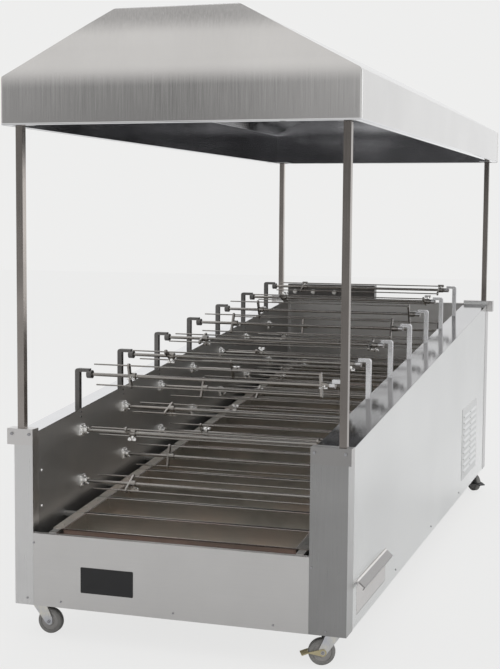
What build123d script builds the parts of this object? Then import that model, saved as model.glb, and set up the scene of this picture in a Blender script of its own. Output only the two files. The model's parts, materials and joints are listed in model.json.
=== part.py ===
from build123d import *
from math import atan2, cos, degrees, hypot, pi, radians, sin
import os

# Lamb spit roaster: a long open charcoal bed that climbs towards its far end,
# three rows of spits across it, a hood on four posts and a floor on casters.
# Millimetres. X points right, Y away from the low end, Z up.
# The origin is on the floor, in the middle of the part's outline.

# Driving sizes: frame and hood
post_span_x = 1280.0
post_span_y = 3500.0
post_side = 28.0
post_wall = 2.0
post_hole_gap = 0.3
caster_height = 130.0
hood_clear_height = 1850.0
hood_overhang_x = 56.0
hood_overhang_y = 50.0
fascia_height = 178.0
hood_rise = 242.0
hood_top_half_width = 240.0
hood_top_end_inset = 30.0
hood_lip_width = 26.0
post_plate_side = 96.0
duct_radius = 150.0
duct_height = 36.0
duct_flange = 22.0

# Driving sizes: body
sheet = 2.0
body_proud = 24.0
near_wall_height = 673.0
far_wall_height = 1001.0
left_wall_width = 78.0
right_housing_width = 142.0
left_wall_depth = 560.0
right_wall_depth = 530.0
front_panel_height = 285.0
top_flange_near = 25.0
top_flange_far = 62.0
seam_gap = 0.3
seat_gap = 0.2
column_side_flange = 95.0
column_return = 50.0
cap_height = 63.0
cap_rise = 17.0
cap_proud = 31.0
cap_proud_near_right = 10.0
frame_tube = 30.0

# Driving sizes: spits
station_count = 7
first_station = 437.0
station_pitch = 437.5
row_height = {"top": 145.0, "middle": -90.0, "low": -302.0}
bar_radius = 7.0
shaft_gap = 0.05
end_gap = 0.3
tine_radius = 3.0
tine_offset = 45.0
tine_tip_gap = 66.0
fork_plate_x = 440.0
guide_plate_x = -370.0
plate_thickness = 8.0
plate_width = 20.0
plate_end = 9.0
hub_radius = 14.0
hub_length = 22.0
wing_shank_radius = 4.0
wing_shank = 16.0
wing_span = 24.0
wing_thickness = 4.0
turn_step = 47.0
row_turn = {"top": 14.0, "middle": 62.0, "low": 118.0}

# Driving sizes: brackets and bearings
bracket_bar = 20.0
bracket_depth = 22.0
bracket_top = 168.0
bracket_foot = 62.0
bracket_arm_thickness = 14.0
left_arm_reach = 42.0
right_arm_reach = 32.0
left_boss_radius = 17.0
right_boss_radius = 12.0
boss_length = 22.0
flange_side = 50.0
flange_thickness = 8.0
flange_corner = 10.0
bearing_nose = 18.0
bearing_nose_radius = 15.0
hole_gap = 0.3
spindle_radius = 12.0
spindle_mouth = 22.0
socket_depth = 32.0
bearing_body_radius = 17.0
bearing_body_length = 22.0

# Driving sizes: drive
sprocket_radius = 38.0
sprocket_teeth = 16
tooth_notch = 4.0
sprocket_width = 8.0
row_plane = 34.0
link_plane = 54.0
motor_plane = 76.0
chain_gap = 0.5
chain_thickness = 8.0
motor_y = 2894.0
motor_shaft_z = 160.0
gearbox_width = 56.0
gearbox_side = 120.0
motor_radius = 50.0
motor_length = 190.0
motor_shaft_radius = 10.0
motor_foot = 6.0

# Driving sizes: charcoal trays
tray_count = 16
tray_pitch = 217.0
tray_width = 206.0
first_tray = 69.0
tray_rim = 385.0
tray_depth = 75.0
tray_wall_gap = 50.0
tray_right_gap = 22.0
tray_flange = 45.0
tray_slope_run = 12.0
tray_hole_radius = 5.0
rail_width = 30.0
rail_thickness = 12.0
rail_arm_count = 8
drip_floor_depth = 510.0
chute_fall = 34.0
chute_edge = 12.0

# Driving sizes: ash drawer
drawer_start = 159.0
drawer_width = 505.0
drawer_bottom = 40.0
drawer_height = 134.0
drawer_length = 516.0
drawer_gap = 1.5
drawer_run_gap = 0.3
handle_reach = 32.0
handle_drop = 25.0
handle_sheet = 3.0
handle_nose = 12.0
runner_width = 24.0
runner_lip = 12.0

# Driving sizes: vent, plate, control box
vent_start = 2634.0
vent_width = 520.0
vent_bottom = 80.0
vent_height = 395.0
vent_margin = 20.0
vent_rows = 10
vent_columns = 2
vent_slot_height = 9.0
vent_hood_reach = 7.0
plate_left = 279.0
plate_wide = 217.0
plate_low = 68.0
plate_high = 100.0
plate_sheet = 1.2
box_length = 556.0
box_height = 94.0
box_depth = 56.0
lamp_places = (48.0, 165.0, 301.0)
lamp_radius = 14.0
lamp_reach = 12.0
gland_radius = 11.0

# Driving sizes: casters
wheel_radius = 50.0
wheel_width = 32.0
wheel_edge = 6.0
axle_radius = 6.0
trail = 38.0
caster_inset_x = 50.0
caster_inset_y = 60.0
caster_plate_x = 100.0
caster_plate_y = 85.0
caster_plate_thickness = 3.0
race_radius = 28.0
race_height = 8.0
kingpin_radius = 6.0
kingpin_nut_radius = 10.0
crown_thickness = 6.0
cheek_thickness = 3.0
cheek_gap = 2.0
cheek_half_length = 26.0
lug_radius = 14.0
pedal_length = 28.0
pedal_thickness = 4.0
pedal_tilt = 8.0

# Driving sizes: fasteners
bolt_radius = 6.5
bolt_head = 5.0
screw_radius = 4.0
screw_head = 2.4
cap_bolt_side = 21.0
cap_bolt_drop = 20.0
side_screw_start = 880.0
side_screw_pitch = 840.0
side_screw_height = 30.0

# Worked out from the driving sizes
body_half_x = post_span_x / 2 + body_proud
body_half_y = post_span_y / 2 + body_proud
near_face = -body_half_y
fire_left = -body_half_x + left_wall_width
fire_right = body_half_x - right_housing_width
skin = body_half_x - sheet
body_z = caster_height
rise_per_mm = (far_wall_height - near_wall_height) / (2 * body_half_y)
bed_tilt = atan2(far_wall_height - near_wall_height, 2 * body_half_y)
hood_z = body_z + hood_clear_height
hood_half_x = post_span_x / 2 + hood_overhang_x
hood_half_y = post_span_y / 2 + hood_overhang_y
hood_top_z = hood_z + fascia_height + hood_rise
inner_end = body_half_y - column_return
frame_top = body_z + frame_tube
fascia_z = hood_z + fascia_height
post_plate_z = hood_z + sheet + seat_gap

os.makedirs("parts", exist_ok=True)


def wall_z(y):
    """Height of the sloping wall top at a place along the length."""
    return body_z + near_wall_height + (y + body_half_y) * rise_per_mm


def along(distance):
    """Y of a place measured from the near face of the body."""
    return near_face + distance


def station_y(index):
    return along(first_station + index * station_pitch)


def row_z(row, index):
    return wall_z(station_y(index)) + row_height[row]


def finish(piece, name):
    piece.part.label = name
    export_step(piece.part, f"parts/{name}.step")
    print(name, len(piece.part.solids()), round(piece.part.volume / 1000.0, 1))


def block(x0, x1, y0, y1, z0, z1, mode=Mode.ADD):
    """A box given by its corners, for use inside a part."""
    with Locations(((x0 + x1) / 2, (y0 + y1) / 2, (z0 + z1) / 2)):
        Box(abs(x1 - x0), abs(y1 - y0), abs(z1 - z0), mode=mode)


def long_outline(points):
    """A closed outline in length and height, for a sketch on a side plane."""
    with BuildLine() as outline:
        Polyline(*points, close=True)
    make_face(outline.edges())


def sloping_strip(x0, x1, y0, y1, top_offset, depth, mode=Mode.ADD):
    """A strip that follows the slope of the bed, cut plumb at its ends."""
    with BuildSketch(Plane.YZ.offset(x0)) as section:
        long_outline(
            [
                (y0, wall_z(y0) + top_offset - depth),
                (y1, wall_z(y1) + top_offset - depth),
                (y1, wall_z(y1) + top_offset),
                (y0, wall_z(y0) + top_offset),
            ]
        )
    extrude(section.sketch, amount=x1 - x0, mode=mode)


def cross_cylinder(x0, x1, y, z, radius, mode=Mode.ADD):
    """A round bar or hole that lies across the roaster."""
    with BuildSketch(Plane.YZ.offset(x0)) as section:
        with Locations((y, z)):
            Circle(radius)
    extrude(section.sketch, amount=x1 - x0, mode=mode)


driven_rows = ("middle", "low")
driven_places = [(station_y(k), row_z(row, k)) for row in driven_rows for k in range(station_count)]
bracket_places = [(station_y(k), wall_z(station_y(k))) for k in range(station_count)]

# Drawer opening in the right side
drawer_y0 = along(drawer_start)
drawer_y1 = drawer_y0 + drawer_width
drawer_z0 = body_z + drawer_bottom
drawer_z1 = drawer_z0 + drawer_height
drawer_back = skin - drawer_length

# Vent opening in the right side
vent_y0 = along(vent_start)
vent_y1 = vent_y0 + vent_width
vent_z0 = body_z + vent_bottom
vent_z1 = vent_z0 + vent_height


# Base frame: square tubes welded into a ladder, with a bearer for the drawer runners
caster_y = post_span_y / 2 - caster_inset_y
frame_x = skin - sheet
frame_y = body_half_y - sheet
bearer_x = drawer_back - 5.0
drawer_cross_y = drawer_y1 + 60.0
motor_cross = (along(motor_y) - gearbox_side / 2, along(motor_y) + gearbox_side / 2)
cross_places = [-caster_y, drawer_cross_y, 0.0, caster_y, motor_cross[0], motor_cross[1]]

with BuildPart() as base_frame:
    inner_x = frame_x - frame_tube - seam_gap
    for side in (-1, 1):
        block(side * frame_x, side * (frame_x - frame_tube), -frame_y, frame_y, body_z, frame_top)
        block(-inner_x, inner_x, side * frame_y, side * (frame_y - frame_tube), body_z, frame_top)
    for y in cross_places:
        block(-inner_x, inner_x, y - frame_tube / 2, y + frame_tube / 2, body_z, frame_top)
    bearer_y0 = -caster_y + frame_tube / 2 + seam_gap
    bearer_y1 = drawer_cross_y - frame_tube / 2 - seam_gap
    block(bearer_x - frame_tube, bearer_x, bearer_y0, bearer_y1, body_z, frame_top)
finish(base_frame, "base_frame")


# Corner columns: folded sheets that wrap the four corners below the caps
def corner_width(side_x):
    return left_wall_width if side_x < 0 else right_housing_width


def cap_bottom(side_y):
    return wall_z(side_y * body_half_y) + cap_rise - cap_height


corners = [(sx, sy) for sy in (-1, 1) for sx in (-1, 1)]

with BuildPart() as corner_columns:
    for sx, sy in corners:
        outer_x = sx * body_half_x
        outer_y = sy * body_half_y
        inner_x = outer_x - sx * corner_width(sx)
        top = cap_bottom(sy)
        block(outer_x, inner_x, outer_y, outer_y - sy * sheet, body_z, top)
        block(outer_x, outer_x - sx * sheet, outer_y, outer_y - sy * column_side_flange, body_z, top)
        return_z = frame_top + seam_gap
        block(inner_x, inner_x + sx * sheet, outer_y, outer_y - sy * column_return, return_z, top)
finish(corner_columns, "corner_columns")


# Column caps: open-backed boxes round the feet of the posts
def cap_reach(side_x, side_y):
    return cap_proud_near_right if side_x > 0 and side_y < 0 else cap_proud


with BuildPart() as column_caps:
    for sx, sy in corners:
        low = cap_bottom(sy)
        high = low + cap_height
        outer_x = sx * (body_half_x + cap_reach(sx, sy))
        edge_x = sx * body_half_x
        inner_x = edge_x - sx * corner_width(sx)
        outer_y = sy * body_half_y
        back_y = outer_y - sy * column_return
        block(outer_x, inner_x, outer_y, back_y, low, high)
        block(
            edge_x,
            inner_x + sx * sheet,
            outer_y - sy * sheet,
            back_y,
            low,
            high - sheet,
            mode=Mode.SUBTRACT,
        )
        block(
            outer_x - sx * sheet,
            edge_x,
            outer_y - sy * sheet,
            back_y + sy * sheet,
            low,
            high - sheet,
            mode=Mode.SUBTRACT,
        )
        half_hole = post_side / 2 + post_hole_gap
        post_x = sx * post_span_x / 2
        post_y = sy * post_span_y / 2
        block(
            post_x - half_hole,
            post_x + half_hole,
            post_y - half_hole,
            post_y + half_hole,
            high - sheet,
            high,
            mode=Mode.SUBTRACT,
        )
finish(column_caps, "column_caps")


# Hood posts: four square tubes from the base frame to the hood
with BuildPart() as hood_posts:
    with BuildSketch(Plane.XY.offset(frame_top)):
        with GridLocations(post_span_x, post_span_y, 2, 2):
            Rectangle(post_side, post_side)
            Rectangle(post_side - 2 * post_wall, post_side - 2 * post_wall, mode=Mode.SUBTRACT)
    extrude(amount=post_plate_z - frame_top)
finish(hood_posts, "hood_posts")


# Outer side sheets
side_end = body_half_y - sheet


def outer_outline():
    long_outline(
        [
            (-side_end, body_z),
            (side_end, body_z),
            (side_end, wall_z(side_end) - sheet),
            (-side_end, wall_z(-side_end) - sheet),
        ]
    )


with BuildPart() as left_outer_panel:
    with BuildSketch(Plane.YZ.offset(-skin)):
        outer_outline()
    extrude(amount=sheet)
finish(left_outer_panel, "left_outer_panel")

with BuildPart() as right_outer_panel:
    with BuildSketch(Plane.YZ.offset(skin - sheet)):
        outer_outline()
    extrude(amount=sheet)
    block(skin - sheet, skin, drawer_y0, drawer_y1, drawer_z0, drawer_z1, mode=Mode.SUBTRACT)
    block(
        skin - sheet,
        skin,
        vent_y0 + vent_margin,
        vent_y1 - vent_margin,
        vent_z0 + vent_margin,
        vent_z1 - vent_margin,
        mode=Mode.SUBTRACT,
    )
finish(right_outer_panel, "right_outer_panel")


# Inner walls: the heat sheets that carry the bearings
def bearing_holes(x0, radius):
    with BuildSketch(Plane.YZ.offset(x0)) as holes:
        with Locations(*driven_places):
            Circle(radius)
    extrude(holes.sketch, amount=sheet, mode=Mode.SUBTRACT)


with BuildPart() as left_inner_wall:
    sloping_strip(fire_left - sheet, fire_left, -inner_end, inner_end, -sheet, left_wall_depth - sheet)
    bearing_holes(fire_left - sheet, bar_radius + hole_gap)
finish(left_inner_wall, "left_inner_wall")

# The right wall's main sheet clears the drawer, and a skirt closes the space below it past the drawer
clear_depth = wall_z(-inner_end) - drawer_z1 - 4 * drawer_gap
skirt_start = drawer_y1 + 4 * drawer_gap
skirt_depth = right_wall_depth - clear_depth - seam_gap
with BuildPart() as right_inner_wall:
    sloping_strip(fire_right, fire_right + sheet, -inner_end, inner_end, -sheet, clear_depth - sheet)
    bearing_holes(fire_right, bearing_body_radius + hole_gap)
    sloping_strip(
        fire_right,
        fire_right + sheet,
        skirt_start,
        inner_end,
        -clear_depth - seam_gap,
        skirt_depth,
    )
finish(right_inner_wall, "right_inner_wall")


# Top covers: sloping strips that close the two hollow walls
left_bar_x0 = fire_left - sheet - bracket_bar
right_bar_x0 = fire_right + sheet


def bracket_slots(x0, z_margin):
    half_y = bracket_depth / 2 + hole_gap
    for y, top in bracket_places:
        block(
            x0 - hole_gap,
            x0 + bracket_bar + hole_gap,
            y - half_y,
            y + half_y,
            top - z_margin,
            top + z_margin,
            mode=Mode.SUBTRACT,
        )


with BuildPart() as left_top_rail:
    sloping_strip(-body_half_x, fire_left, -inner_end, inner_end, 0.0, sheet)
    bracket_slots(left_bar_x0, 4 * sheet)
finish(left_top_rail, "left_top_rail")

with BuildPart() as right_top_cover:
    sloping_strip(fire_right, body_half_x, -inner_end, inner_end, 0.0, sheet)
    bracket_slots(right_bar_x0, 4 * sheet)
finish(right_top_cover, "right_top_cover")


# End panels: the low front and the tall rear, each with a folded top edge
end_sizes = ((-1, front_panel_height, top_flange_near), (1, far_wall_height, top_flange_far))
with BuildPart() as end_panels:
    for side, height, flange in end_sizes:
        outer_y = side * body_half_y
        x0 = fire_left + seam_gap
        x1 = fire_right - seam_gap
        block(x0, x1, outer_y, outer_y - side * sheet, body_z, body_z + height)
        block(x0, x1, outer_y, outer_y - side * flange, body_z + height - sheet, body_z + height)
finish(end_panels, "end_panels")


# Hood: sheets round a hollow, open below, with a flat top, an inward lip and a round outlet
lip_x = hood_half_x - sheet - seam_gap
lip_y = hood_half_y - sheet - seam_gap
slope_angle = atan2(hood_rise, hood_half_x - hood_top_half_width)
slope_depth = sheet / cos(slope_angle)
with BuildPart() as hood_canopy:
    with BuildSketch(Plane.XY.offset(hood_z)):
        Rectangle(2 * hood_half_x, 2 * hood_half_y)
    extrude(amount=fascia_height)
    with BuildSketch(Plane.XY.offset(fascia_z)):
        Rectangle(2 * hood_half_x, 2 * hood_half_y)
    with BuildSketch(Plane.XY.offset(hood_top_z)):
        Rectangle(2 * hood_top_half_width, 2 * (hood_half_y - hood_top_end_inset))
    loft(ruled=True)
    underside = hood_canopy.faces().sort_by(Axis.Z)[0]
    offset(amount=-sheet, openings=underside)
    with BuildSketch(Plane.XY.offset(hood_top_z - 2 * sheet)):
        Circle(duct_radius - sheet)
    extrude(amount=4 * sheet, mode=Mode.SUBTRACT)
    # Seams between the sheets
    for seam_z in (fascia_z, hood_top_z - sheet - seam_gap):
        block(
            -hood_half_x,
            hood_half_x,
            -hood_half_y,
            hood_half_y,
            seam_z,
            seam_z + seam_gap,
            mode=Mode.SUBTRACT,
        )
    for side in (-1, 1):
        corner_x = side * (hood_half_x - sheet)
        block(
            corner_x,
            corner_x - side * seam_gap,
            -hood_half_y,
            hood_half_y,
            hood_z,
            fascia_z,
            mode=Mode.SUBTRACT,
        )
        with BuildSketch(Plane.XZ.offset(-hood_half_y)):
            with BuildLine():
                Polyline(
                    (side * hood_half_x, fascia_z - slope_depth),
                    (side * hood_top_half_width, hood_top_z - slope_depth),
                    (side * hood_top_half_width, hood_top_z - slope_depth - seam_gap),
                    (side * (hood_half_x - 2 * sheet), fascia_z - slope_depth - seam_gap),
                    close=True,
                )
            make_face()
        extrude(amount=2 * hood_half_y, mode=Mode.SUBTRACT)
    # Lip round the open underside, and plates over the four posts
    for side in (-1, 1):
        block(-lip_x, lip_x, side * lip_y, side * (lip_y - hood_lip_width), hood_z, hood_z + sheet)
        run = lip_y - hood_lip_width - seam_gap
        block(side * lip_x, side * (lip_x - hood_lip_width), -run, run, hood_z, hood_z + sheet)
    with BuildSketch(Plane.XY.offset(post_plate_z)):
        with GridLocations(2 * lip_x - post_plate_side, 2 * lip_y - post_plate_side, 2, 2):
            Rectangle(post_plate_side, post_plate_side)
    extrude(amount=2 * sheet)
    # Outlet collar
    collar_z = hood_top_z + seat_gap
    with BuildSketch(Plane.XY.offset(collar_z)):
        Circle(duct_radius + duct_flange)
        Circle(duct_radius - sheet, mode=Mode.SUBTRACT)
    extrude(amount=sheet)
    with BuildSketch(Plane.XY.offset(collar_z)):
        Circle(duct_radius)
        Circle(duct_radius - sheet, mode=Mode.SUBTRACT)
    extrude(amount=duct_height)
finish(hood_canopy, "hood_canopy")


# Charcoal trays: folded pans with a flat flange and a sloping plate at each end
tray_x0 = fire_left + tray_wall_gap
tray_x1 = fire_right - tray_right_gap


def bed_plane(y, offset_from_top):
    """A plane tilted with the bed, square to its slope."""
    return Plane(
        origin=(0, y, wall_z(y) + offset_from_top),
        x_dir=(1, 0, 0),
        z_dir=(0, -sin(bed_tilt), cos(bed_tilt)),
    )


slope_in = tray_x0 + tray_flange
slope_out = tray_x1 - tray_flange
floor_in = slope_in + tray_slope_run
floor_out = slope_out - tray_slope_run
tray_end = tray_width - sheet - seat_gap

with BuildPart() as charcoal_trays:
    for k in range(tray_count):
        near = bed_plane(along(first_tray + k * tray_pitch), -tray_rim)
        upright = Plane(origin=near.origin, x_dir=(1, 0, 0), z_dir=-near.y_dir)
        # Floor and the two steep end plates
        with BuildSketch(upright.offset(-sheet - seat_gap)):
            with BuildLine():
                Polyline(
                    (floor_in + sheet + seat_gap, -tray_depth),
                    (floor_out - sheet - seat_gap, -tray_depth),
                    (floor_out - sheet - seat_gap, sheet - tray_depth),
                    (floor_in + sheet + seat_gap, sheet - tray_depth),
                    close=True,
                )
            make_face()
            for top_x, low_x, step in ((slope_in, floor_in, sheet), (slope_out, floor_out, -sheet)):
                with BuildLine():
                    Polyline(
                        (top_x, 0),
                        (low_x, -tray_depth),
                        (low_x + step, -tray_depth),
                        (top_x + step, 0),
                        close=True,
                    )
                make_face()
        extrude(amount=-(tray_end - sheet - seat_gap))
        # The two long side walls
        for start in (0.0, tray_width - sheet):
            with BuildSketch(upright.offset(-start)):
                with BuildLine():
                    Polyline(
                        (slope_in, 0),
                        (floor_in, -tray_depth),
                        (floor_out, -tray_depth),
                        (slope_out, 0),
                        close=True,
                    )
                make_face()
            extrude(amount=-sheet)
        # The flat end flanges with their lifting holes
        flange_width = tray_flange - seat_gap
        with BuildSketch(near):
            for x in (tray_x0 + flange_width / 2, tray_x1 - flange_width / 2):
                with Locations((x, tray_width / 2)):
                    Rectangle(flange_width, tray_width)
                with Locations((x, tray_width * 0.25), (x, tray_width * 0.75)):
                    Circle(tray_hole_radius, mode=Mode.SUBTRACT)
        extrude(amount=-sheet)
finish(charcoal_trays, "charcoal_trays")


# Tray rails: sloping bars under the tray flanges, on short arms from the walls
rail_left = tray_x0 + 5.0
rail_right = tray_x1 - 5.0
rail_drop = (sheet + seat_gap) / cos(bed_tilt)
rail_top = -tray_rim - rail_drop
rail_y0 = near_face + top_flange_near + seam_gap
rail_y1 = side_end - seam_gap
arm_length = 30.0
with BuildPart() as tray_rails:
    sloping_strip(rail_left, rail_left + rail_width, rail_y0, rail_y1, rail_top, rail_thickness)
    sloping_strip(rail_right - rail_width, rail_right, rail_y0, rail_y1, rail_top, rail_thickness)
    arm_step = 2 * inner_end / rail_arm_count
    for k in range(rail_arm_count):
        y = -inner_end + (k + 0.5) * arm_step
        sloping_strip(fire_left, rail_left, y, y + arm_length, rail_top, rail_thickness)
        sloping_strip(rail_right, fire_right, y, y + arm_length, rail_top, rail_thickness)
finish(tray_rails, "tray_rails")


# Drip floor: a sloping sheet below the trays, and two chutes that lead into the drawer
pan_y0 = drawer_y0 + 4 * drawer_gap
pan_y1 = drawer_y1 - 4 * drawer_gap
floor_left = fire_left + seam_gap
floor_right = fire_right - seam_gap
floor_end = side_end - seam_gap
chute_low = drawer_z1 + 4 * drawer_gap
chute_x1 = drawer_back + chute_edge
chute_y1 = drawer_y1 + chute_edge
with BuildPart() as drip_floor:
    sloping_strip(floor_left, floor_right, pan_y1 - chute_edge, floor_end, -drip_floor_depth, sheet)
    with BuildSketch(Plane.XZ.offset(floor_end)):
        with BuildLine():
            Polyline(
                (floor_left, chute_low + chute_fall),
                (chute_x1, chute_low),
                (chute_x1, chute_low - sheet),
                (floor_left, chute_low + chute_fall - sheet),
                close=True,
            )
        make_face()
    extrude(amount=-(floor_end + chute_y1))
    with BuildSketch(Plane.YZ.offset(chute_x1 + seam_gap)):
        with BuildLine():
            Polyline(
                (-floor_end, chute_low + chute_fall / 2),
                (pan_y0 + chute_edge, chute_low),
                (pan_y0 + chute_edge, chute_low - sheet),
                (-floor_end, chute_low + chute_fall / 2 - sheet),
                close=True,
            )
        make_face()
    extrude(amount=floor_right - chute_x1 - seam_gap)
finish(drip_floor, "drip_floor")


# Spit brackets: bent square bars bolted inside the walls, with a bored boss at the tip
def bracket(side, y, top, reach, boss_radius):
    """side is -1 on the left wall and 1 on the right one."""
    face = fire_left - sheet if side < 0 else fire_right + sheet
    outer = face + side * bracket_bar
    tip = face - side * (reach + sheet)
    high = top + bracket_top
    with BuildSketch(Plane.XZ.offset(-y)) as bent_bar:
        long_outline(
            [
                (outer, top - bracket_foot),
                (outer, high),
                (tip, high),
                (tip, high - bracket_arm_thickness),
                (face, high - bracket_arm_thickness),
                (face, top - bracket_foot),
            ]
        )
    extrude(bent_bar.sketch, amount=bracket_depth / 2, both=True)
    axis_z = top + row_height["top"]
    boss_x0 = min(tip - side * boss_length / 2, tip + side * boss_length / 2)
    cross_cylinder(boss_x0, boss_x0 + boss_length, y, axis_z, boss_radius)
    cross_cylinder(boss_x0, boss_x0 + boss_length, y, axis_z, bar_radius + shaft_gap, mode=Mode.SUBTRACT)


def bracket_row(side, reach, boss_radius):
    with BuildPart() as row:
        for y, top in bracket_places:
            bracket(side, y, top, reach, boss_radius)
        edges = row.edges().filter_by(Axis.Y).group_by(Axis.X)
        outer_corners = edges[0] if side < 0 else edges[-1]
        tops = [e for e in outer_corners if e.center().Z > wall_z(e.center().Y) + bracket_foot]
        fillet(tops, radius=bracket_arm_thickness - sheet)
    return row


left_spit_brackets = bracket_row(-1, left_arm_reach, left_boss_radius)
finish(left_spit_brackets, "left_spit_brackets")
right_spit_brackets = bracket_row(1, right_arm_reach, right_boss_radius)
finish(right_spit_brackets, "right_spit_brackets")


# Wall bearings: square flanges with a bored nose on the left, round bodies on the right
right_flange_x = fire_right - flange_thickness
with BuildPart() as spit_bearings:
    with BuildSketch(Plane.YZ.offset(fire_left)):
        with Locations(*driven_places):
            RectangleRounded(flange_side, flange_side, flange_corner)
    extrude(amount=flange_thickness)
    with BuildSketch(Plane.YZ.offset(fire_left)):
        with Locations(*driven_places):
            Circle(bearing_nose_radius)
    extrude(amount=flange_thickness + bearing_nose)
    with BuildSketch(Plane.YZ.offset(fire_left)):
        with Locations(*driven_places):
            Circle(bar_radius + shaft_gap)
    extrude(amount=flange_thickness + bearing_nose, mode=Mode.SUBTRACT)
    with BuildSketch(Plane.YZ.offset(right_flange_x)):
        with Locations(*driven_places):
            RectangleRounded(flange_side, flange_side, flange_corner)
    extrude(amount=flange_thickness)
    with BuildSketch(Plane.YZ.offset(right_flange_x)):
        with Locations(*driven_places):
            Circle(bearing_body_radius)
    extrude(amount=flange_thickness + bearing_body_length)
    with BuildSketch(Plane.YZ.offset(right_flange_x)):
        with Locations(*driven_places):
            Circle(spindle_radius + shaft_gap)
    extrude(amount=flange_thickness + bearing_body_length, mode=Mode.SUBTRACT)
finish(spit_bearings, "spit_bearings")


# Drive planes and places
def plane_x(distance):
    return fire_right + distance


last = station_count - 1
motor_place = (along(motor_y), body_z + motor_shaft_z)
low_last = (station_y(last), row_z("low", last))
middle_last = (station_y(last), row_z("middle", last))


def sprocket(distance, y, z, bore=0.0):
    """A toothed disc on a spindle, at a plane inside the drive housing."""
    with BuildSketch(Plane.YZ.offset(plane_x(distance))) as disc:
        with Locations((y, z)):
            Circle(sprocket_radius)
            with PolarLocations(sprocket_radius, sprocket_teeth):
                Circle(tooth_notch, mode=Mode.SUBTRACT)
            if bore:
                Circle(bore, mode=Mode.SUBTRACT)
    extrude(disc.sketch, amount=sprocket_width)


# Spits: each is a bar with a sliding two-tine fork, a guide plate and two wing screws
def tine_places(y, z, turn):
    dy = tine_offset * sin(radians(turn))
    dz = tine_offset * cos(radians(turn))
    return [(y - dy, z + dz), (y + dy, z - dz)]


def fork_plate(x, y, z, turn):
    """A flat bar square to the spit, bored for the bar and for both tines."""
    reach = tine_offset + plate_end
    with BuildSketch(Plane.YZ.offset(x)) as flat_bar:
        with Locations(Location((y, z, 0), (0, 0, turn))):
            SlotOverall(2 * reach, plate_width, rotation=90)
        with Locations((y, z)):
            Circle(bar_radius + shaft_gap, mode=Mode.SUBTRACT)
        with Locations(*tine_places(y, z, turn)):
            Circle(tine_radius + shaft_gap, mode=Mode.SUBTRACT)
    extrude(flat_bar.sketch, amount=plate_thickness)
    with BuildSketch(Plane.YZ.offset(x + plate_thickness + shaft_gap)) as hub:
        with Locations((y, z)):
            Circle(hub_radius)
            Circle(bar_radius + shaft_gap, mode=Mode.SUBTRACT)
    extrude(hub.sketch, amount=hub_length)


def wing_screw(x, y, z, turn):
    """A wing screw that clamps a hub, standing square to the tines."""
    out = Vector(0, -cos(radians(turn)), -sin(radians(turn)))
    start = Vector(x, y, z) + out * (hub_radius + shaft_gap)
    screw_plane = Plane(origin=start, x_dir=(1, 0, 0), z_dir=out)
    with BuildSketch(screw_plane) as shank:
        Circle(wing_shank_radius)
    extrude(shank.sketch, amount=wing_shank)
    wing_plane = Plane(origin=start, x_dir=(1, 0, 0), z_dir=out.cross(Vector(1, 0, 0)))
    base = wing_shank / 2
    tip = wing_shank + wing_thickness
    with BuildSketch(wing_plane) as wings:
        long_outline(
            [
                (-wing_shank_radius, -base),
                (wing_shank_radius, -base),
                (wing_span / 2, -tip),
                (-wing_span / 2, -tip),
            ]
        )
    extrude(wings.sketch, amount=wing_thickness / 2, both=True)


def spit(row, index):
    y = station_y(index)
    z = row_z(row, index)
    turn = row_turn[row] + turn_step * index
    with BuildPart() as rod:
        if row == "top":
            bar_x0 = fire_left - sheet + left_arm_reach + sheet - boss_length / 2 - end_gap
            bar_x1 = fire_right + sheet - right_arm_reach - sheet + boss_length / 2 + 8 * end_gap
            collar_x = fire_right - right_arm_reach - boss_length / 2 - end_gap
            bar_end = bar_x1
        else:
            bar_x0 = fire_left + end_gap
            bar_end = fire_right - spindle_mouth + socket_depth - end_gap
            collar_x = fire_right - spindle_mouth - end_gap
        cross_cylinder(bar_x0, bar_end, y, z, bar_radius)
        tine_x0 = fire_left + tine_tip_gap
        for ty, tz in tine_places(y, z, turn):
            cross_cylinder(tine_x0, fork_plate_x + plate_thickness, ty, tz, tine_radius)
        for plate_x in (fork_plate_x, guide_plate_x):
            fork_plate(plate_x, y, z, turn)
            wing_screw(plate_x + plate_thickness + hub_length / 2, y, z, turn)
        with BuildSketch(Plane.YZ.offset(collar_x - flange_thickness)):
            with Locations((y, z)):
                Circle(bar_radius + bearing_nose / 4)
                Circle(bar_radius + shaft_gap, mode=Mode.SUBTRACT)
        extrude(amount=flange_thickness)
        if row != "top":
            planes = [row_plane]
            if index == last:
                planes.append(link_plane)
                if row == "low":
                    planes.append(motor_plane)
            mouth = fire_right - spindle_mouth
            tail = plane_x(planes[-1]) + sprocket_width + sheet
            with BuildSketch(Plane.YZ.offset(mouth)):
                with Locations((y, z)):
                    Circle(spindle_radius)
                    Circle(bar_radius + shaft_gap, mode=Mode.SUBTRACT)
            extrude(amount=socket_depth)
            with BuildSketch(Plane.YZ.offset(mouth + socket_depth)):
                with Locations((y, z)):
                    Circle(spindle_radius)
            extrude(amount=tail - mouth - socket_depth)
            for distance in planes:
                sprocket(distance, y, z, bore=spindle_radius + shaft_gap)
    return rod


for row in row_height:
    for index in range(station_count):
        rod = spit(row, index)
        finish(rod, f"{row}_spit_{index + 1}")


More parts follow.
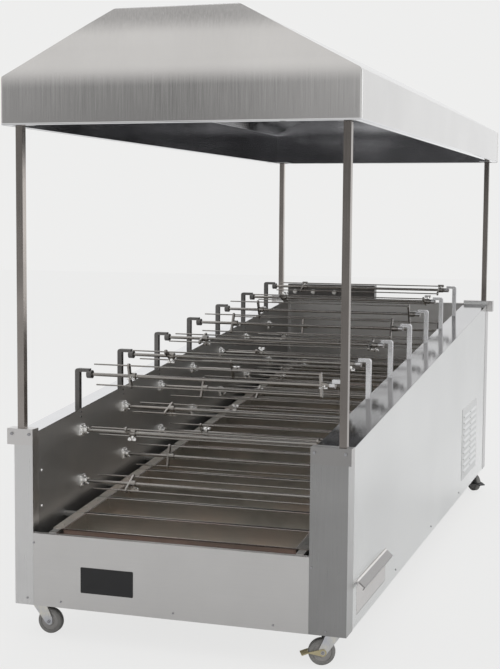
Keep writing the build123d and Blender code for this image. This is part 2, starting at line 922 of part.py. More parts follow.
# Gear motor: a worm gearbox on a bracket, with its motor lying along the housing
box_x1 = plane_x(motor_plane) - 4 * end_gap
box_x0 = box_x1 - gearbox_width
motor_y0, motor_z0 = motor_place
gear_half = gearbox_side / 2
with BuildPart() as gear_motor:
    block(
        box_x0,
        box_x1,
        motor_y0 - gear_half,
        motor_y0 + gear_half,
        motor_z0 - gear_half,
        motor_z0 + gear_half,
    )
    fillet(gear_motor.edges().filter_by(Axis.X), radius=12)
    motor_face = motor_y0 - gear_half
    motor_axis_x = fire_right + sheet + motor_radius + drawer_gap
    with BuildSketch(Plane.XZ.offset(-motor_face)):
        with Locations((motor_axis_x, motor_z0)):
            Circle(motor_radius)
    extrude(amount=motor_length)
    shaft_end = plane_x(motor_plane) + sprocket_width + sheet
    cross_cylinder(box_x1, shaft_end, motor_y0, motor_z0, motor_shaft_radius)
    foot_z1 = motor_z0 - gear_half
    for y in motor_cross:
        block(box_x0, box_x1, y - motor_foot, y + motor_foot, frame_top, foot_z1 + motor_foot)
finish(gear_motor, "gear_motor")

with BuildPart() as motor_sprocket:
    sprocket(motor_plane, *motor_place, bore=motor_shaft_radius + shaft_gap)
finish(motor_sprocket, "motor_sprocket")


# Drive chains: closed loops round the sprockets of each row, between the rows, and to the motor
def chain_loop(distance, start, end):
    dy = end[0] - start[0]
    dz = end[1] - start[1]
    span = hypot(dy, dz)
    middle = ((start[0] + end[0]) / 2, (start[1] + end[1]) / 2, 0)
    inner = sprocket_radius + chain_gap
    outer = inner + chain_thickness
    with BuildSketch(Plane.YZ.offset(plane_x(distance))) as loop:
        with Locations(Location(middle, (0, 0, degrees(atan2(dz, dy))))):
            SlotCenterToCenter(span, 2 * outer)
            SlotCenterToCenter(span, 2 * inner, mode=Mode.SUBTRACT)
    extrude(loop.sketch, amount=sprocket_width)


with BuildPart() as drive_chains:
    for row in driven_rows:
        chain_loop(row_plane, (station_y(0), row_z(row, 0)), (station_y(last), row_z(row, last)))
    chain_loop(link_plane, low_last, middle_last)
    chain_loop(motor_plane, motor_place, low_last)
finish(drive_chains, "drive_chains")


# Louvred vent cover over the opening beside the gear motor
with BuildPart() as louvre_panel:
    block(skin, skin + sheet, vent_y0, vent_y1, vent_z0, vent_z1)
    inner_width = vent_width - 4 * vent_margin
    column_pitch = inner_width / vent_columns + vent_margin / 2
    slot_length = inner_width / vent_columns - vent_margin / 2
    row_pitch = (vent_height - 3 * vent_margin) / vent_rows
    centre = ((vent_y0 + vent_y1) / 2, (vent_z0 + vent_z1) / 2)
    slot_places = [
        (
            centre[0] + (c - (vent_columns - 1) / 2) * column_pitch,
            centre[1] + (r - (vent_rows - 1) / 2) * row_pitch,
        )
        for c in range(vent_columns)
        for r in range(vent_rows)
    ]
    with BuildSketch(Plane.YZ.offset(skin)):
        with Locations(*slot_places):
            Rectangle(slot_length, vent_slot_height)
    extrude(amount=sheet, mode=Mode.SUBTRACT)
    for y, z in slot_places:
        top = z + vent_slot_height / 2 + sheet
        out = skin + sheet
        with BuildSketch(Plane.XZ.offset(-(y - slot_length / 2))):
            with BuildLine():
                Polyline(
                    (out - sheet / 2, top),
                    (out + vent_hood_reach, z - vent_slot_height / 2),
                    (out + vent_hood_reach, z - vent_slot_height / 2 - sheet),
                    (out - sheet / 2, top - sheet),
                    close=True,
                )
            make_face()
        extrude(amount=-slot_length)
finish(louvre_panel, "louvre_panel")


# Blank plate on the front panel
plate_x0 = fire_left + plate_left - left_wall_width
with BuildPart() as blank_plate:
    block(
        plate_x0,
        plate_x0 + plate_wide,
        near_face - plate_sheet,
        near_face,
        body_z + plate_low,
        body_z + plate_low + plate_high,
    )
    fillet(blank_plate.edges().filter_by(Axis.Y), radius=4)
finish(blank_plate, "blank_plate")


# Control box on the rear panel's folded edge, with three lamps and a closed cable gland
rear_top = body_z + far_wall_height
box_left = fire_left + 4 * seam_gap
box_y1 = body_half_y - sheet
box_y0 = box_y1 - box_depth
lamp_z = rear_top + box_height / 2
with BuildPart() as control_box:
    block(box_left, box_left + box_length, box_y0, box_y1, rear_top, rear_top + box_height)
    fillet(control_box.edges().filter_by(Axis.X), radius=4)
    gland_x = box_left + box_length - 2 * box_depth
    with BuildSketch(Plane.XZ.offset(-box_y1)):
        with Locations((gland_x, lamp_z)):
            RegularPolygon(gland_radius, 6)
    extrude(amount=-gland_radius)
    with BuildSketch(Plane.XZ.offset(-(box_y0 - hole_gap))):
        for place in lamp_places:
            with Locations((box_left + place, lamp_z)):
                Circle(lamp_radius)
    extrude(amount=lamp_reach)
finish(control_box, "control_box")


# Ash drawer: an open pan on two runners, and its front with a folded handle along the top
pan_top = drawer_z1 - 4 * drawer_gap
runner_top = drawer_z0 + drawer_gap
pan_low = runner_top + drawer_run_gap
pan_in_y = pan_y1 - sheet - seat_gap
with BuildPart() as ash_drawer:
    block(drawer_back, skin - sheet, pan_y0, pan_y0 + sheet, pan_low, pan_top)
    block(drawer_back, skin - sheet, pan_y1 - sheet, pan_y1, pan_low, pan_top)
    for x0 in (drawer_back, skin - 2 * sheet):
        block(x0, x0 + sheet, pan_y0 + sheet + seat_gap, pan_in_y, pan_low, pan_top)
    block(
        drawer_back + sheet + seat_gap,
        skin - 2 * sheet - seat_gap,
        pan_y0 + sheet + seat_gap,
        pan_in_y,
        pan_low,
        pan_low + sheet,
    )
finish(ash_drawer, "ash_drawer")

front_y0 = drawer_y0 + drawer_gap
front_y1 = drawer_y1 - drawer_gap
with BuildPart() as drawer_front:
    block(skin - sheet, skin, front_y0, front_y1, drawer_z0 + drawer_gap, drawer_z1 - drawer_gap)
    top = drawer_z1 - drawer_gap
    tip_x = skin + handle_reach
    tip_z = top - handle_drop
    with BuildSketch(Plane.XZ.offset(-front_y0)):
        with BuildLine():
            Polyline(
                (skin - sheet, top),
                (skin + sheet, top),
                (tip_x, tip_z),
                (tip_x - handle_nose / 2, tip_z - handle_nose),
                (tip_x - handle_nose / 2 - handle_sheet, tip_z - handle_nose),
                (tip_x - handle_sheet - sheet, tip_z - sheet),
                (skin, top - handle_sheet - sheet),
                (skin - sheet, top - handle_sheet - sheet),
                close=True,
            )
        make_face()
    extrude(amount=-(front_y1 - front_y0))
finish(drawer_front, "drawer_front")

# Each runner is a flat bar under the pan and an upright guide plate beside it
with BuildPart() as drawer_runners:
    for y0, guide_y0 in (
        (pan_y0, pan_y0 - end_gap - sheet),
        (pan_y1 - runner_width, pan_y1 + end_gap),
    ):
        run_x0 = bearer_x - frame_tube
        block(run_x0, frame_x, y0, y0 + runner_width, frame_top, runner_top)
        block(run_x0, frame_x, guide_y0, guide_y0 + sheet, frame_top, runner_top + runner_lip)
finish(drawer_runners, "drawer_runners")


# Casters: bolted plates with a kingpin, swivelling yokes, wheels, and a brake on the right pair
caster_x = post_span_x / 2 - caster_inset_x
caster_names = {
    "front_left": (-1, -1, 0.0),
    "front_right": (1, -1, 205.0),
    "rear_left": (-1, 1, 160.0),
    "rear_right": (1, 1, -45.0),
}
plate_z0 = body_z - caster_plate_thickness
race_z0 = plate_z0 - race_height
crown_top = race_z0 - end_gap
crown_z0 = crown_top - crown_thickness
nut_z0 = crown_z0 - end_gap - crown_thickness
cheek_y = wheel_width / 2 + cheek_gap
pivot_radius = axle_radius + sheet
boss_out = end_gap + cheek_thickness + end_gap

with BuildPart() as caster_plates:
    for sx, sy, heading in caster_names.values():
        cx, cy = sx * caster_x, sy * caster_y
        block(
            cx - caster_plate_x / 2,
            cx + caster_plate_x / 2,
            cy - caster_plate_y / 2,
            cy + caster_plate_y / 2,
            plate_z0,
            body_z,
        )
        for radius, low in ((race_radius, race_z0), (kingpin_radius, nut_z0)):
            with BuildSketch(Plane.XY.offset(low)):
                with Locations((cx, cy)):
                    Circle(radius)
            extrude(amount=plate_z0 - low)
        with BuildSketch(Plane.XY.offset(nut_z0)):
            with Locations((cx, cy)):
                RegularPolygon(kingpin_nut_radius, 6)
        extrude(amount=crown_thickness)
finish(caster_plates, "caster_plates")


def caster_frame(name):
    """A plane at the floor below the kingpin, its X pointing to where the wheel trails."""
    sx, sy, heading = caster_names[name]
    direction = (cos(radians(heading)), sin(radians(heading)), 0)
    return Plane(origin=(sx * caster_x, sy * caster_y, 0), x_dir=direction, z_dir=(0, 0, 1))


def upright_plane(base, offset_sideways):
    """A plane through the caster, with X along the trail and Y up."""
    upright = Plane(origin=base.origin, x_dir=base.x_dir, z_dir=-base.y_dir)
    return upright.offset(offset_sideways)


for name in caster_names:
    base = caster_frame(name)
    with BuildPart() as yoke:
        with BuildSketch(base.offset(crown_z0)):
            Rectangle(2 * cheek_half_length, 2 * (cheek_y + cheek_thickness))
            Circle(kingpin_radius + shaft_gap, mode=Mode.SUBTRACT)
        extrude(amount=crown_thickness)
        for side in (-1, 1):
            inner = side * cheek_y if side > 0 else side * (cheek_y + cheek_thickness)
            with BuildSketch(upright_plane(base, inner)):
                with BuildLine():
                    Polyline(
                        (-cheek_half_length, crown_top),
                        (-cheek_half_length, crown_z0 - crown_thickness),
                        (trail - lug_radius, wheel_radius - lug_radius / 2),
                        (trail + lug_radius, wheel_radius - lug_radius / 2),
                        (trail + lug_radius, wheel_radius + lug_radius),
                        (cheek_half_length, crown_top),
                        close=True,
                    )
                make_face()
                with Locations((trail, wheel_radius)):
                    Circle(lug_radius)
                    Circle(axle_radius + shaft_gap, mode=Mode.SUBTRACT)
            extrude(amount=cheek_thickness)
            boss_start = cheek_y + cheek_thickness if side > 0 else -(cheek_y + cheek_thickness + boss_out)
            with BuildSketch(upright_plane(base, boss_start)):
                with Locations((trail, wheel_radius)):
                    Circle(pivot_radius)
                    Circle(axle_radius + shaft_gap, mode=Mode.SUBTRACT)
            extrude(amount=boss_out)
    finish(yoke, f"caster_yoke_{name}")

    with BuildPart() as wheel:
        with BuildSketch(upright_plane(base, -wheel_width / 2)):
            with Locations((trail, wheel_radius)):
                Circle(wheel_radius)
        extrude(amount=wheel_width)
        fillet(wheel.edges().filter_by(GeomType.CIRCLE), radius=wheel_edge)
        with BuildSketch(upright_plane(base, -wheel_width / 2)):
            with Locations((trail, wheel_radius)):
                Circle(axle_radius + shaft_gap)
        extrude(amount=wheel_width, mode=Mode.SUBTRACT)
        axle_half = cheek_y + cheek_thickness + boss_out
        with BuildSketch(upright_plane(base, -axle_half)):
            with Locations((trail, wheel_radius)):
                Circle(axle_radius)
        extrude(amount=2 * axle_half)
    finish(wheel, f"caster_wheel_{name}")


# Brake pedals: pressed levers that turn on the bosses of the right casters
tread_start = trail + wheel_radius + sheet
tread_end = trail + wheel_radius + pedal_length
tread_z = wheel_radius + pedal_thickness
pedal_side = cheek_y + cheek_thickness + end_gap
for name in ("front_right", "rear_right"):
    base = caster_frame(name)
    with BuildPart() as pedal:
        for side in (-1, 1):
            start = pedal_side if side > 0 else -(pedal_side + cheek_thickness)
            with BuildSketch(upright_plane(base, start)):
                with BuildLine():
                    Polyline(
                        (trail, wheel_radius - lug_radius),
                        (tread_start, tread_z - pedal_thickness),
                        (tread_end, tread_z - pedal_thickness - pedal_tilt),
                        (tread_end, tread_z - pedal_tilt),
                        (tread_start, tread_z),
                        (trail, wheel_radius + lug_radius),
                        close=True,
                    )
                make_face()
                with Locations((trail, wheel_radius)):
                    Circle(lug_radius)
                    Circle(pivot_radius + shaft_gap, mode=Mode.SUBTRACT)
            extrude(amount=cheek_thickness)
        with BuildSketch(upright_plane(base, -(pedal_side + cheek_thickness))):
            with BuildLine():
                Polyline(
                    (tread_start, tread_z - pedal_thickness),
                    (tread_end, tread_z - pedal_thickness - pedal_tilt),
                    (tread_end, tread_z - pedal_tilt),
                    (tread_start, tread_z),
                    close=True,
                )
            make_face()
        extrude(amount=2 * (pedal_side + cheek_thickness))
    finish(pedal, f"brake_pedal_{name}")


# Fasteners: cap bolts, panel screws and bearing bolts
front_screws = [
    (fire_left + 3.0, 240.0),
    (fire_left - 26.0, 19.0),
    (fire_left + 117.0, 16.0),
    (-5.0, 17.0),
    (fire_right - 134.0, 12.0),
    (fire_right + 9.0, 241.0),
    (fire_right + 65.0, 8.0),
]
with BuildPart() as panel_fasteners:
    for sx, sy in corners:
        bolt_z = cap_bottom(sy) + cap_height - cap_bolt_drop
        outer = sx * (body_half_x + cap_reach(sx, sy) - cap_bolt_side)
        inner = sx * (body_half_x - corner_width(sx)) + sx * cap_bolt_side * 0.7
        with BuildSketch(Plane.XZ.offset(-sy * body_half_y)):
            with Locations((outer, bolt_z), (inner, bolt_z)):
                RegularPolygon(bolt_radius, 6)
        extrude(amount=-sy * bolt_head)
    with BuildSketch(Plane.XZ.offset(body_half_y)):
        with Locations(*[(x, body_z + z + 4 * sheet) for x, z in front_screws]):
            Circle(screw_radius)
    extrude(amount=screw_head)
    head_runs = [side_screw_start + k * side_screw_pitch for k in range(3)]
    head_places = [(along(run), body_z + side_screw_height) for run in head_runs]
    for sx in (-1, 1):
        start = sx * skin
        with BuildSketch(Plane.YZ.offset(start)):
            with Locations(*head_places):
                Circle(screw_radius)
        extrude(amount=sx * screw_head)
    bolt_step = (flange_side / 2 - flange_corner) * 2
    for x0, amount in ((fire_left + flange_thickness, screw_head), (right_flange_x, -screw_head)):
        with BuildSketch(Plane.YZ.offset(x0)):
            with Locations(*driven_places):
                with GridLocations(bolt_step, bolt_step, 2, 2):
                    RegularPolygon(screw_radius, 6)
        extrude(amount=amount)
    for x0, amount in ((fire_left, screw_head), (fire_right, -screw_head)):
        drops = [(y, top - sheet - drop) for y, top in bracket_places for drop in (12.0, 32.0)]
        with BuildSketch(Plane.YZ.offset(x0)):
            with Locations(*drops):
                Circle(screw_radius)
        extrude(amount=amount)
finish(panel_fasteners, "panel_fasteners")
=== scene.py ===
# %% [markdown]
# # Lamb spit roaster
# A long charcoal roaster in sheet steel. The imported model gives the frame: where
# each piece is, and what it moves with. This notebook dresses it: some pieces
# keep their exact shape and get a better finish, and some are modelled again
# with softer bends and more detail. Everything is in metres.

# %% Load the frame
import json
from math import atan, cos, pi, radians, sin

import bmesh
import bpy
from mathutils import Matrix, Vector


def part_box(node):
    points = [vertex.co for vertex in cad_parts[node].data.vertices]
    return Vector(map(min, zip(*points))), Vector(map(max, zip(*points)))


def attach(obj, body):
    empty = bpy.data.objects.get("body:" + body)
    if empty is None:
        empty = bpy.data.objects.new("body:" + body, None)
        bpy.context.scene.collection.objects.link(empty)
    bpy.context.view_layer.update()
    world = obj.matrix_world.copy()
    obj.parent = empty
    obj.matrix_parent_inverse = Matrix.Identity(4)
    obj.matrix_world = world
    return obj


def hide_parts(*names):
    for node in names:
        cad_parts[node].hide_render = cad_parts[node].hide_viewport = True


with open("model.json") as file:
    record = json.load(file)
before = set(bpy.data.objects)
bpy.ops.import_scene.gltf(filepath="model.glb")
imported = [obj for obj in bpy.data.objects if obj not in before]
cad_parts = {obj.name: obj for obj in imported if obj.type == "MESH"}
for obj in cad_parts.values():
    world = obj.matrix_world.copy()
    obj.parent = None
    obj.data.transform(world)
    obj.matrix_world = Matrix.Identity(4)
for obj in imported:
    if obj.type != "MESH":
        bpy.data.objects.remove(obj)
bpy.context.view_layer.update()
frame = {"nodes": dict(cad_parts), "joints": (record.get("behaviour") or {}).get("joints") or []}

# %% [markdown]
# ## Small helpers
# The operators act on whatever is selected, so each piece starts from an empty
# selection. A finished piece has its place baked into its mesh, and its object
# stays at the origin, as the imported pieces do.

# %% Selection and placing helpers
def clear_selection():
    if bpy.context.object and bpy.context.object.mode != "OBJECT":
        bpy.ops.object.mode_set(mode="OBJECT")
    bpy.ops.object.select_all(action="DESELECT")


def make_active(piece):
    clear_selection()
    piece.select_set(True)
    bpy.context.view_layer.objects.active = piece


def settle(piece):
    """Bake place, turn and size into the mesh."""
    make_active(piece)
    bpy.ops.object.transform_apply(location=True, rotation=True, scale=True)


def pick_faces(piece, wanted):
    """In edit mode, select the faces whose centre and normal pass a test."""
    bpy.ops.mesh.select_mode(type="FACE")
    bpy.ops.mesh.select_all(action="DESELECT")
    mesh = bmesh.from_edit_mesh(piece.data)
    for face in mesh.faces:
        face.select_set(wanted(face.calc_center_median(), face.normal))
    mesh.select_flush_mode()
    bmesh.update_edit_mesh(piece.data)


def pick_edges(piece, wanted):
    """In edit mode, select the edges whose two ends pass a test."""
    bpy.ops.mesh.select_mode(type="EDGE")
    bpy.ops.mesh.select_all(action="DESELECT")
    mesh = bmesh.from_edit_mesh(piece.data)
    for edge in mesh.edges:
        edge.select_set(wanted(edge.verts[0].co, edge.verts[1].co))
    mesh.select_flush_mode()
    bmesh.update_edit_mesh(piece.data)


def at_height(a, b, height):
    """Whether both ends of an edge lie at one height."""
    return abs(a.z - height) < 1e-4 and abs(b.z - height) < 1e-4


def add_row(height):
    """Cut a level row of edges all round the piece that is in edit mode."""
    bpy.ops.mesh.select_all(action="SELECT")
    bpy.ops.mesh.bisect(plane_co=(0, 0, height), plane_no=(0, 0, 1))


def start_cube(name, low, high):
    """A cube primitive between two corners, ready in edit mode."""
    clear_selection()
    middle = [(a + b) / 2 for a, b in zip(low, high)]
    bpy.ops.mesh.primitive_cube_add(size=1, location=middle)
    piece = bpy.context.object
    piece.name = name
    piece.scale = [b - a for a, b in zip(low, high)]
    settle(piece)
    bpy.ops.object.mode_set(mode="EDIT")
    return piece


def start_cylinder(name, radius, depth, place, turn=(0, 0, 0), sides=48):
    """A cylinder primitive round a middle point, ready in edit mode."""
    clear_selection()
    bpy.ops.mesh.primitive_cylinder_add(
        vertices=sides, radius=radius, depth=depth, location=place, rotation=turn
    )
    piece = bpy.context.object
    piece.name = name
    settle(piece)
    bpy.ops.object.mode_set(mode="EDIT")
    return piece


def leave_edit():
    bpy.ops.object.mode_set(mode="OBJECT")


def apply_modifier(piece, kind, **values):
    """Add a modifier with its settings and apply it."""
    make_active(piece)
    modifier = piece.modifiers.new(kind.title(), kind)
    for key, value in values.items():
        setattr(modifier, key, value)
    bpy.ops.object.modifier_apply(modifier=modifier.name)


def smooth(piece, angle=30):
    make_active(piece)
    bpy.ops.object.shade_smooth_by_angle(angle=radians(angle))


def copy_of(piece, name, matrix):
    """A copy with its own mesh, moved by a matrix that is baked in."""
    twin = piece.copy()
    twin.data = piece.data.copy()
    twin.name = name
    bpy.context.scene.collection.objects.link(twin)
    twin.data.transform(matrix)
    return twin


def join_pieces(name, parts):
    """Join several parts into the first, under a new name."""
    clear_selection()
    for part in parts:
        part.select_set(True)
    bpy.context.view_layer.objects.active = parts[0]
    bpy.ops.object.join()
    parts[0].name = name
    return parts[0]


def hand_over(piece, body, slot, *nodes):
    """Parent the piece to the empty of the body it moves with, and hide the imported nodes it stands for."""
    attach(piece, body)
    if nodes:
        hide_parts(*nodes)


def node_box(name):
    """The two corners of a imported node."""
    low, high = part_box(name)
    return Vector(low), Vector(high)


print("helpers ready")

# %% [markdown]
# ## Shared shader groups
# Sheet steel shows two things that come back in every finish: the long fine
# scratches of the brushing belt, and slow cloudy changes of tone. Each is a node
# group with its own settings per material. Three small helpers come first, so
# that a node is written in one line with what feeds it.

# %% Node helpers
def feed(socket, term):
    """Give a shader input a plain value, or the output that drives it."""
    if isinstance(term, bpy.types.NodeSocket):
        socket.id_data.links.new(term, socket)
    else:
        socket.default_value = term


def add_node(nodes, kind, tree=None, **terms):
    """Add a node, feed its inputs (From_Min is the input From Min), give its outputs."""
    node = nodes.new(f"ShaderNode{kind}")
    if tree:
        node.node_tree = tree
    for label, term in terms.items():
        feed(node.inputs[label.replace("_", " ")], term)
    return node.outputs


def math_node(nodes, operation, *terms, kind="Math"):
    """A math node, fed in order; kind VectorMath works on vectors and colours."""
    node = nodes.new(f"ShaderNode{kind}")
    node.operation = operation
    for socket, term in zip(node.inputs, terms):
        feed(socket, term)
    return node.outputs[0]


def mix_colours(nodes, share, first, second):
    """Mix two colours; share is how much there is of the second."""
    node = nodes.new("ShaderNodeMix")
    node.data_type = "RGBA"
    for label, term in (("Factor", share), ("A", first), ("B", second)):
        feed(node.inputs[label], term)
    return node.outputs["Result"]


def new_group(name, inputs, outputs):
    """A node group; inputs are (label, socket kind, value), outputs are labels of numbers."""
    group = bpy.data.node_groups.new(name, "ShaderNodeTree")
    for label, kind, value in inputs:
        socket = group.interface.new_socket(name=label, in_out="INPUT", socket_type=kind)
        if value is not None:
            socket.default_value = value
    for label in outputs:
        group.interface.new_socket(name=label, in_out="OUTPUT", socket_type="NodeSocketFloat")
    return group, group.nodes.new("NodeGroupInput").outputs, group.nodes.new("NodeGroupOutput").inputs


print("node helpers ready")

# %% Group: brushed grain
def build_grain_group():
    group, given, result = new_group(
        "BrushedGrain",
        [
            ("Vector", "NodeSocketVector", None),
            ("Stretch", "NodeSocketVector", (220.0, 220.0, 6.0)),
            ("Tone Depth", "NodeSocketFloat", 0.08),
            ("Gloss", "NodeSocketFloat", 0.3),
            ("Gloss Depth", "NodeSocketFloat", 0.12),
        ],
        ["Tone", "Roughness", "Height"],
    )
    nodes = group.nodes
    stretched = math_node(nodes, "MULTIPLY", given["Vector"], given["Stretch"], kind="VectorMath")
    lines = add_node(nodes, "TexNoise", Vector=stretched, Scale=1.0, Detail=3.0)["Fac"]
    centred = math_node(nodes, "SUBTRACT", lines, 0.5)
    feed(result["Tone"], math_node(nodes, "MULTIPLY_ADD", centred, given["Tone Depth"], 1.0))
    feed(
        result["Roughness"],
        math_node(nodes, "MULTIPLY_ADD", centred, given["Gloss Depth"], given["Gloss"]),
    )
    feed(result["Height"], lines)
    return group


grain_group = build_grain_group()
print("group", grain_group.name)

# %% Group: cloudy tone
def build_cloud_group():
    group, given, result = new_group(
        "CloudyTone",
        [
            ("Vector", "NodeSocketVector", None),
            ("Size", "NodeSocketFloat", 3.0),
            ("Low", "NodeSocketFloat", 0.92),
            ("High", "NodeSocketFloat", 1.06),
        ],
        ["Tone", "Mask"],
    )
    nodes = group.nodes
    cloud = add_node(
        nodes, "TexNoise", Vector=given["Vector"], Scale=given["Size"], Detail=4.0, Roughness=0.55
    )["Fac"]
    tone = add_node(
        nodes, "MapRange", Value=cloud, From_Min=0.3, From_Max=0.7, To_Min=given["Low"], To_Max=given["High"]
    )
    mask = add_node(nodes, "MapRange", Value=cloud, From_Min=0.42, From_Max=0.68)
    feed(result["Tone"], tone["Result"])
    feed(result["Mask"], mask["Result"])
    return group


cloud_group = build_cloud_group()
print("group", cloud_group.name)

# %% [markdown]
# ## Steel finishes
# One builder makes all the steels. Brushed sheet gets a grain that runs one way,
# so its three scales differ: fine across, long along. A run changes the tone
# along one direction: a cover is painted darker at its near end, a painted
# reflection of the dark bed, and a drawer lip is darker than its front. The runs
# on the near right corner, the side panels and the trays' left flanges, and the
# lift of faces that look to the right, are painted light and shade as well. The
# sheet round the fire is browner and duller, and cloudy patches of a tint stand
# for the colours of heated steel.

# %% What steel and paint have in common
def start_material(name):
    """A new material: itself, its nodes, its surface, and its places and normals."""
    material = bpy.data.materials.new(name)
    material.use_nodes = True
    nodes = material.node_tree.nodes
    return material, nodes, nodes["Principled BSDF"].inputs, add_node(nodes, "TexCoord")


def finish_surface(nodes, surface, colour, tone, roughness, height, strength, distance):
    """Set the colour scaled by a tone, the roughness, and a bump from a height."""
    toned = nodes.new("ShaderNodeVectorMath")
    toned.operation = "SCALE"
    feed(toned.inputs[0], colour)
    feed(toned.inputs["Scale"], tone)
    feed(surface["Base Color"], toned.outputs[0])
    feed(surface["Roughness"], roughness)
    bump = add_node(nodes, "Bump", Height=height, Strength=strength, Distance=distance)
    feed(surface["Normal"], bump["Normal"])


def tone_along(nodes, tone, vector, run):
    """Multiply a tone by a ramp; run is (axis, start, end, tone at start, tone at end)."""
    axis, start, end, tone_start, tone_end = run
    where = add_node(nodes, "SeparateXYZ", Vector=vector)[axis]
    ramp = add_node(
        nodes, "MapRange", Value=where, From_Min=start, From_Max=end, To_Min=tone_start, To_Max=tone_end
    )
    return math_node(nodes, "MULTIPLY", tone, ramp["Result"])


print("surface helpers ready")

# %% Steel material builder
TINT_SHARE, GRAIN_DEPTH = 0.5, 0.0006


def steel(
    name, colour, gloss, grain, tone=0.1, gloss_depth=0.15, clouds=(0.93, 1.06), cloud_size=2.5,
    bump=0.02, tint=None, runs=(), right_face_painted_light=None, brightest=None,
):
    material, nodes, surface, place = start_material(name)
    feed(surface["Metallic"], 1.0)
    brushed = add_node(
        nodes, "Group", grain_group, Vector=place["Object"], Stretch=grain, Tone_Depth=tone,
        Gloss=gloss, Gloss_Depth=gloss_depth,
    )
    cloudy = add_node(
        nodes, "Group", cloud_group, Vector=place["Object"], Size=cloud_size, Low=clouds[0], High=clouds[1]
    )
    shade = math_node(nodes, "MULTIPLY", brushed["Tone"], cloudy["Tone"])
    for run in runs:
        shade = tone_along(nodes, shade, place["Object"], run)
    if right_face_painted_light:
        # painted light: faces that look to the right are made lighter than the others
        shade = tone_along(nodes, shade, place["Normal"], ("X", 0.2, 0.8, 1.0, right_face_painted_light))
    if brightest:
        shade = math_node(nodes, "MINIMUM", shade, brightest)
    tinted = math_node(nodes, "MULTIPLY", cloudy["Mask"], TINT_SHARE) if tint else 0.0
    base = mix_colours(nodes, tinted, (*colour, 1), (*(tint or colour), 1))
    finish_surface(
        nodes, surface, base, shade, brushed["Roughness"], brushed["Height"], bump, GRAIN_DEPTH
    )
    return material


print("steel builder ready")

# %% The steels
ACROSS = (5.0, 260.0, 260.0)
UPRIGHT = (260.0, 260.0, 5.0)
ALONG = (260.0, 5.0, 260.0)
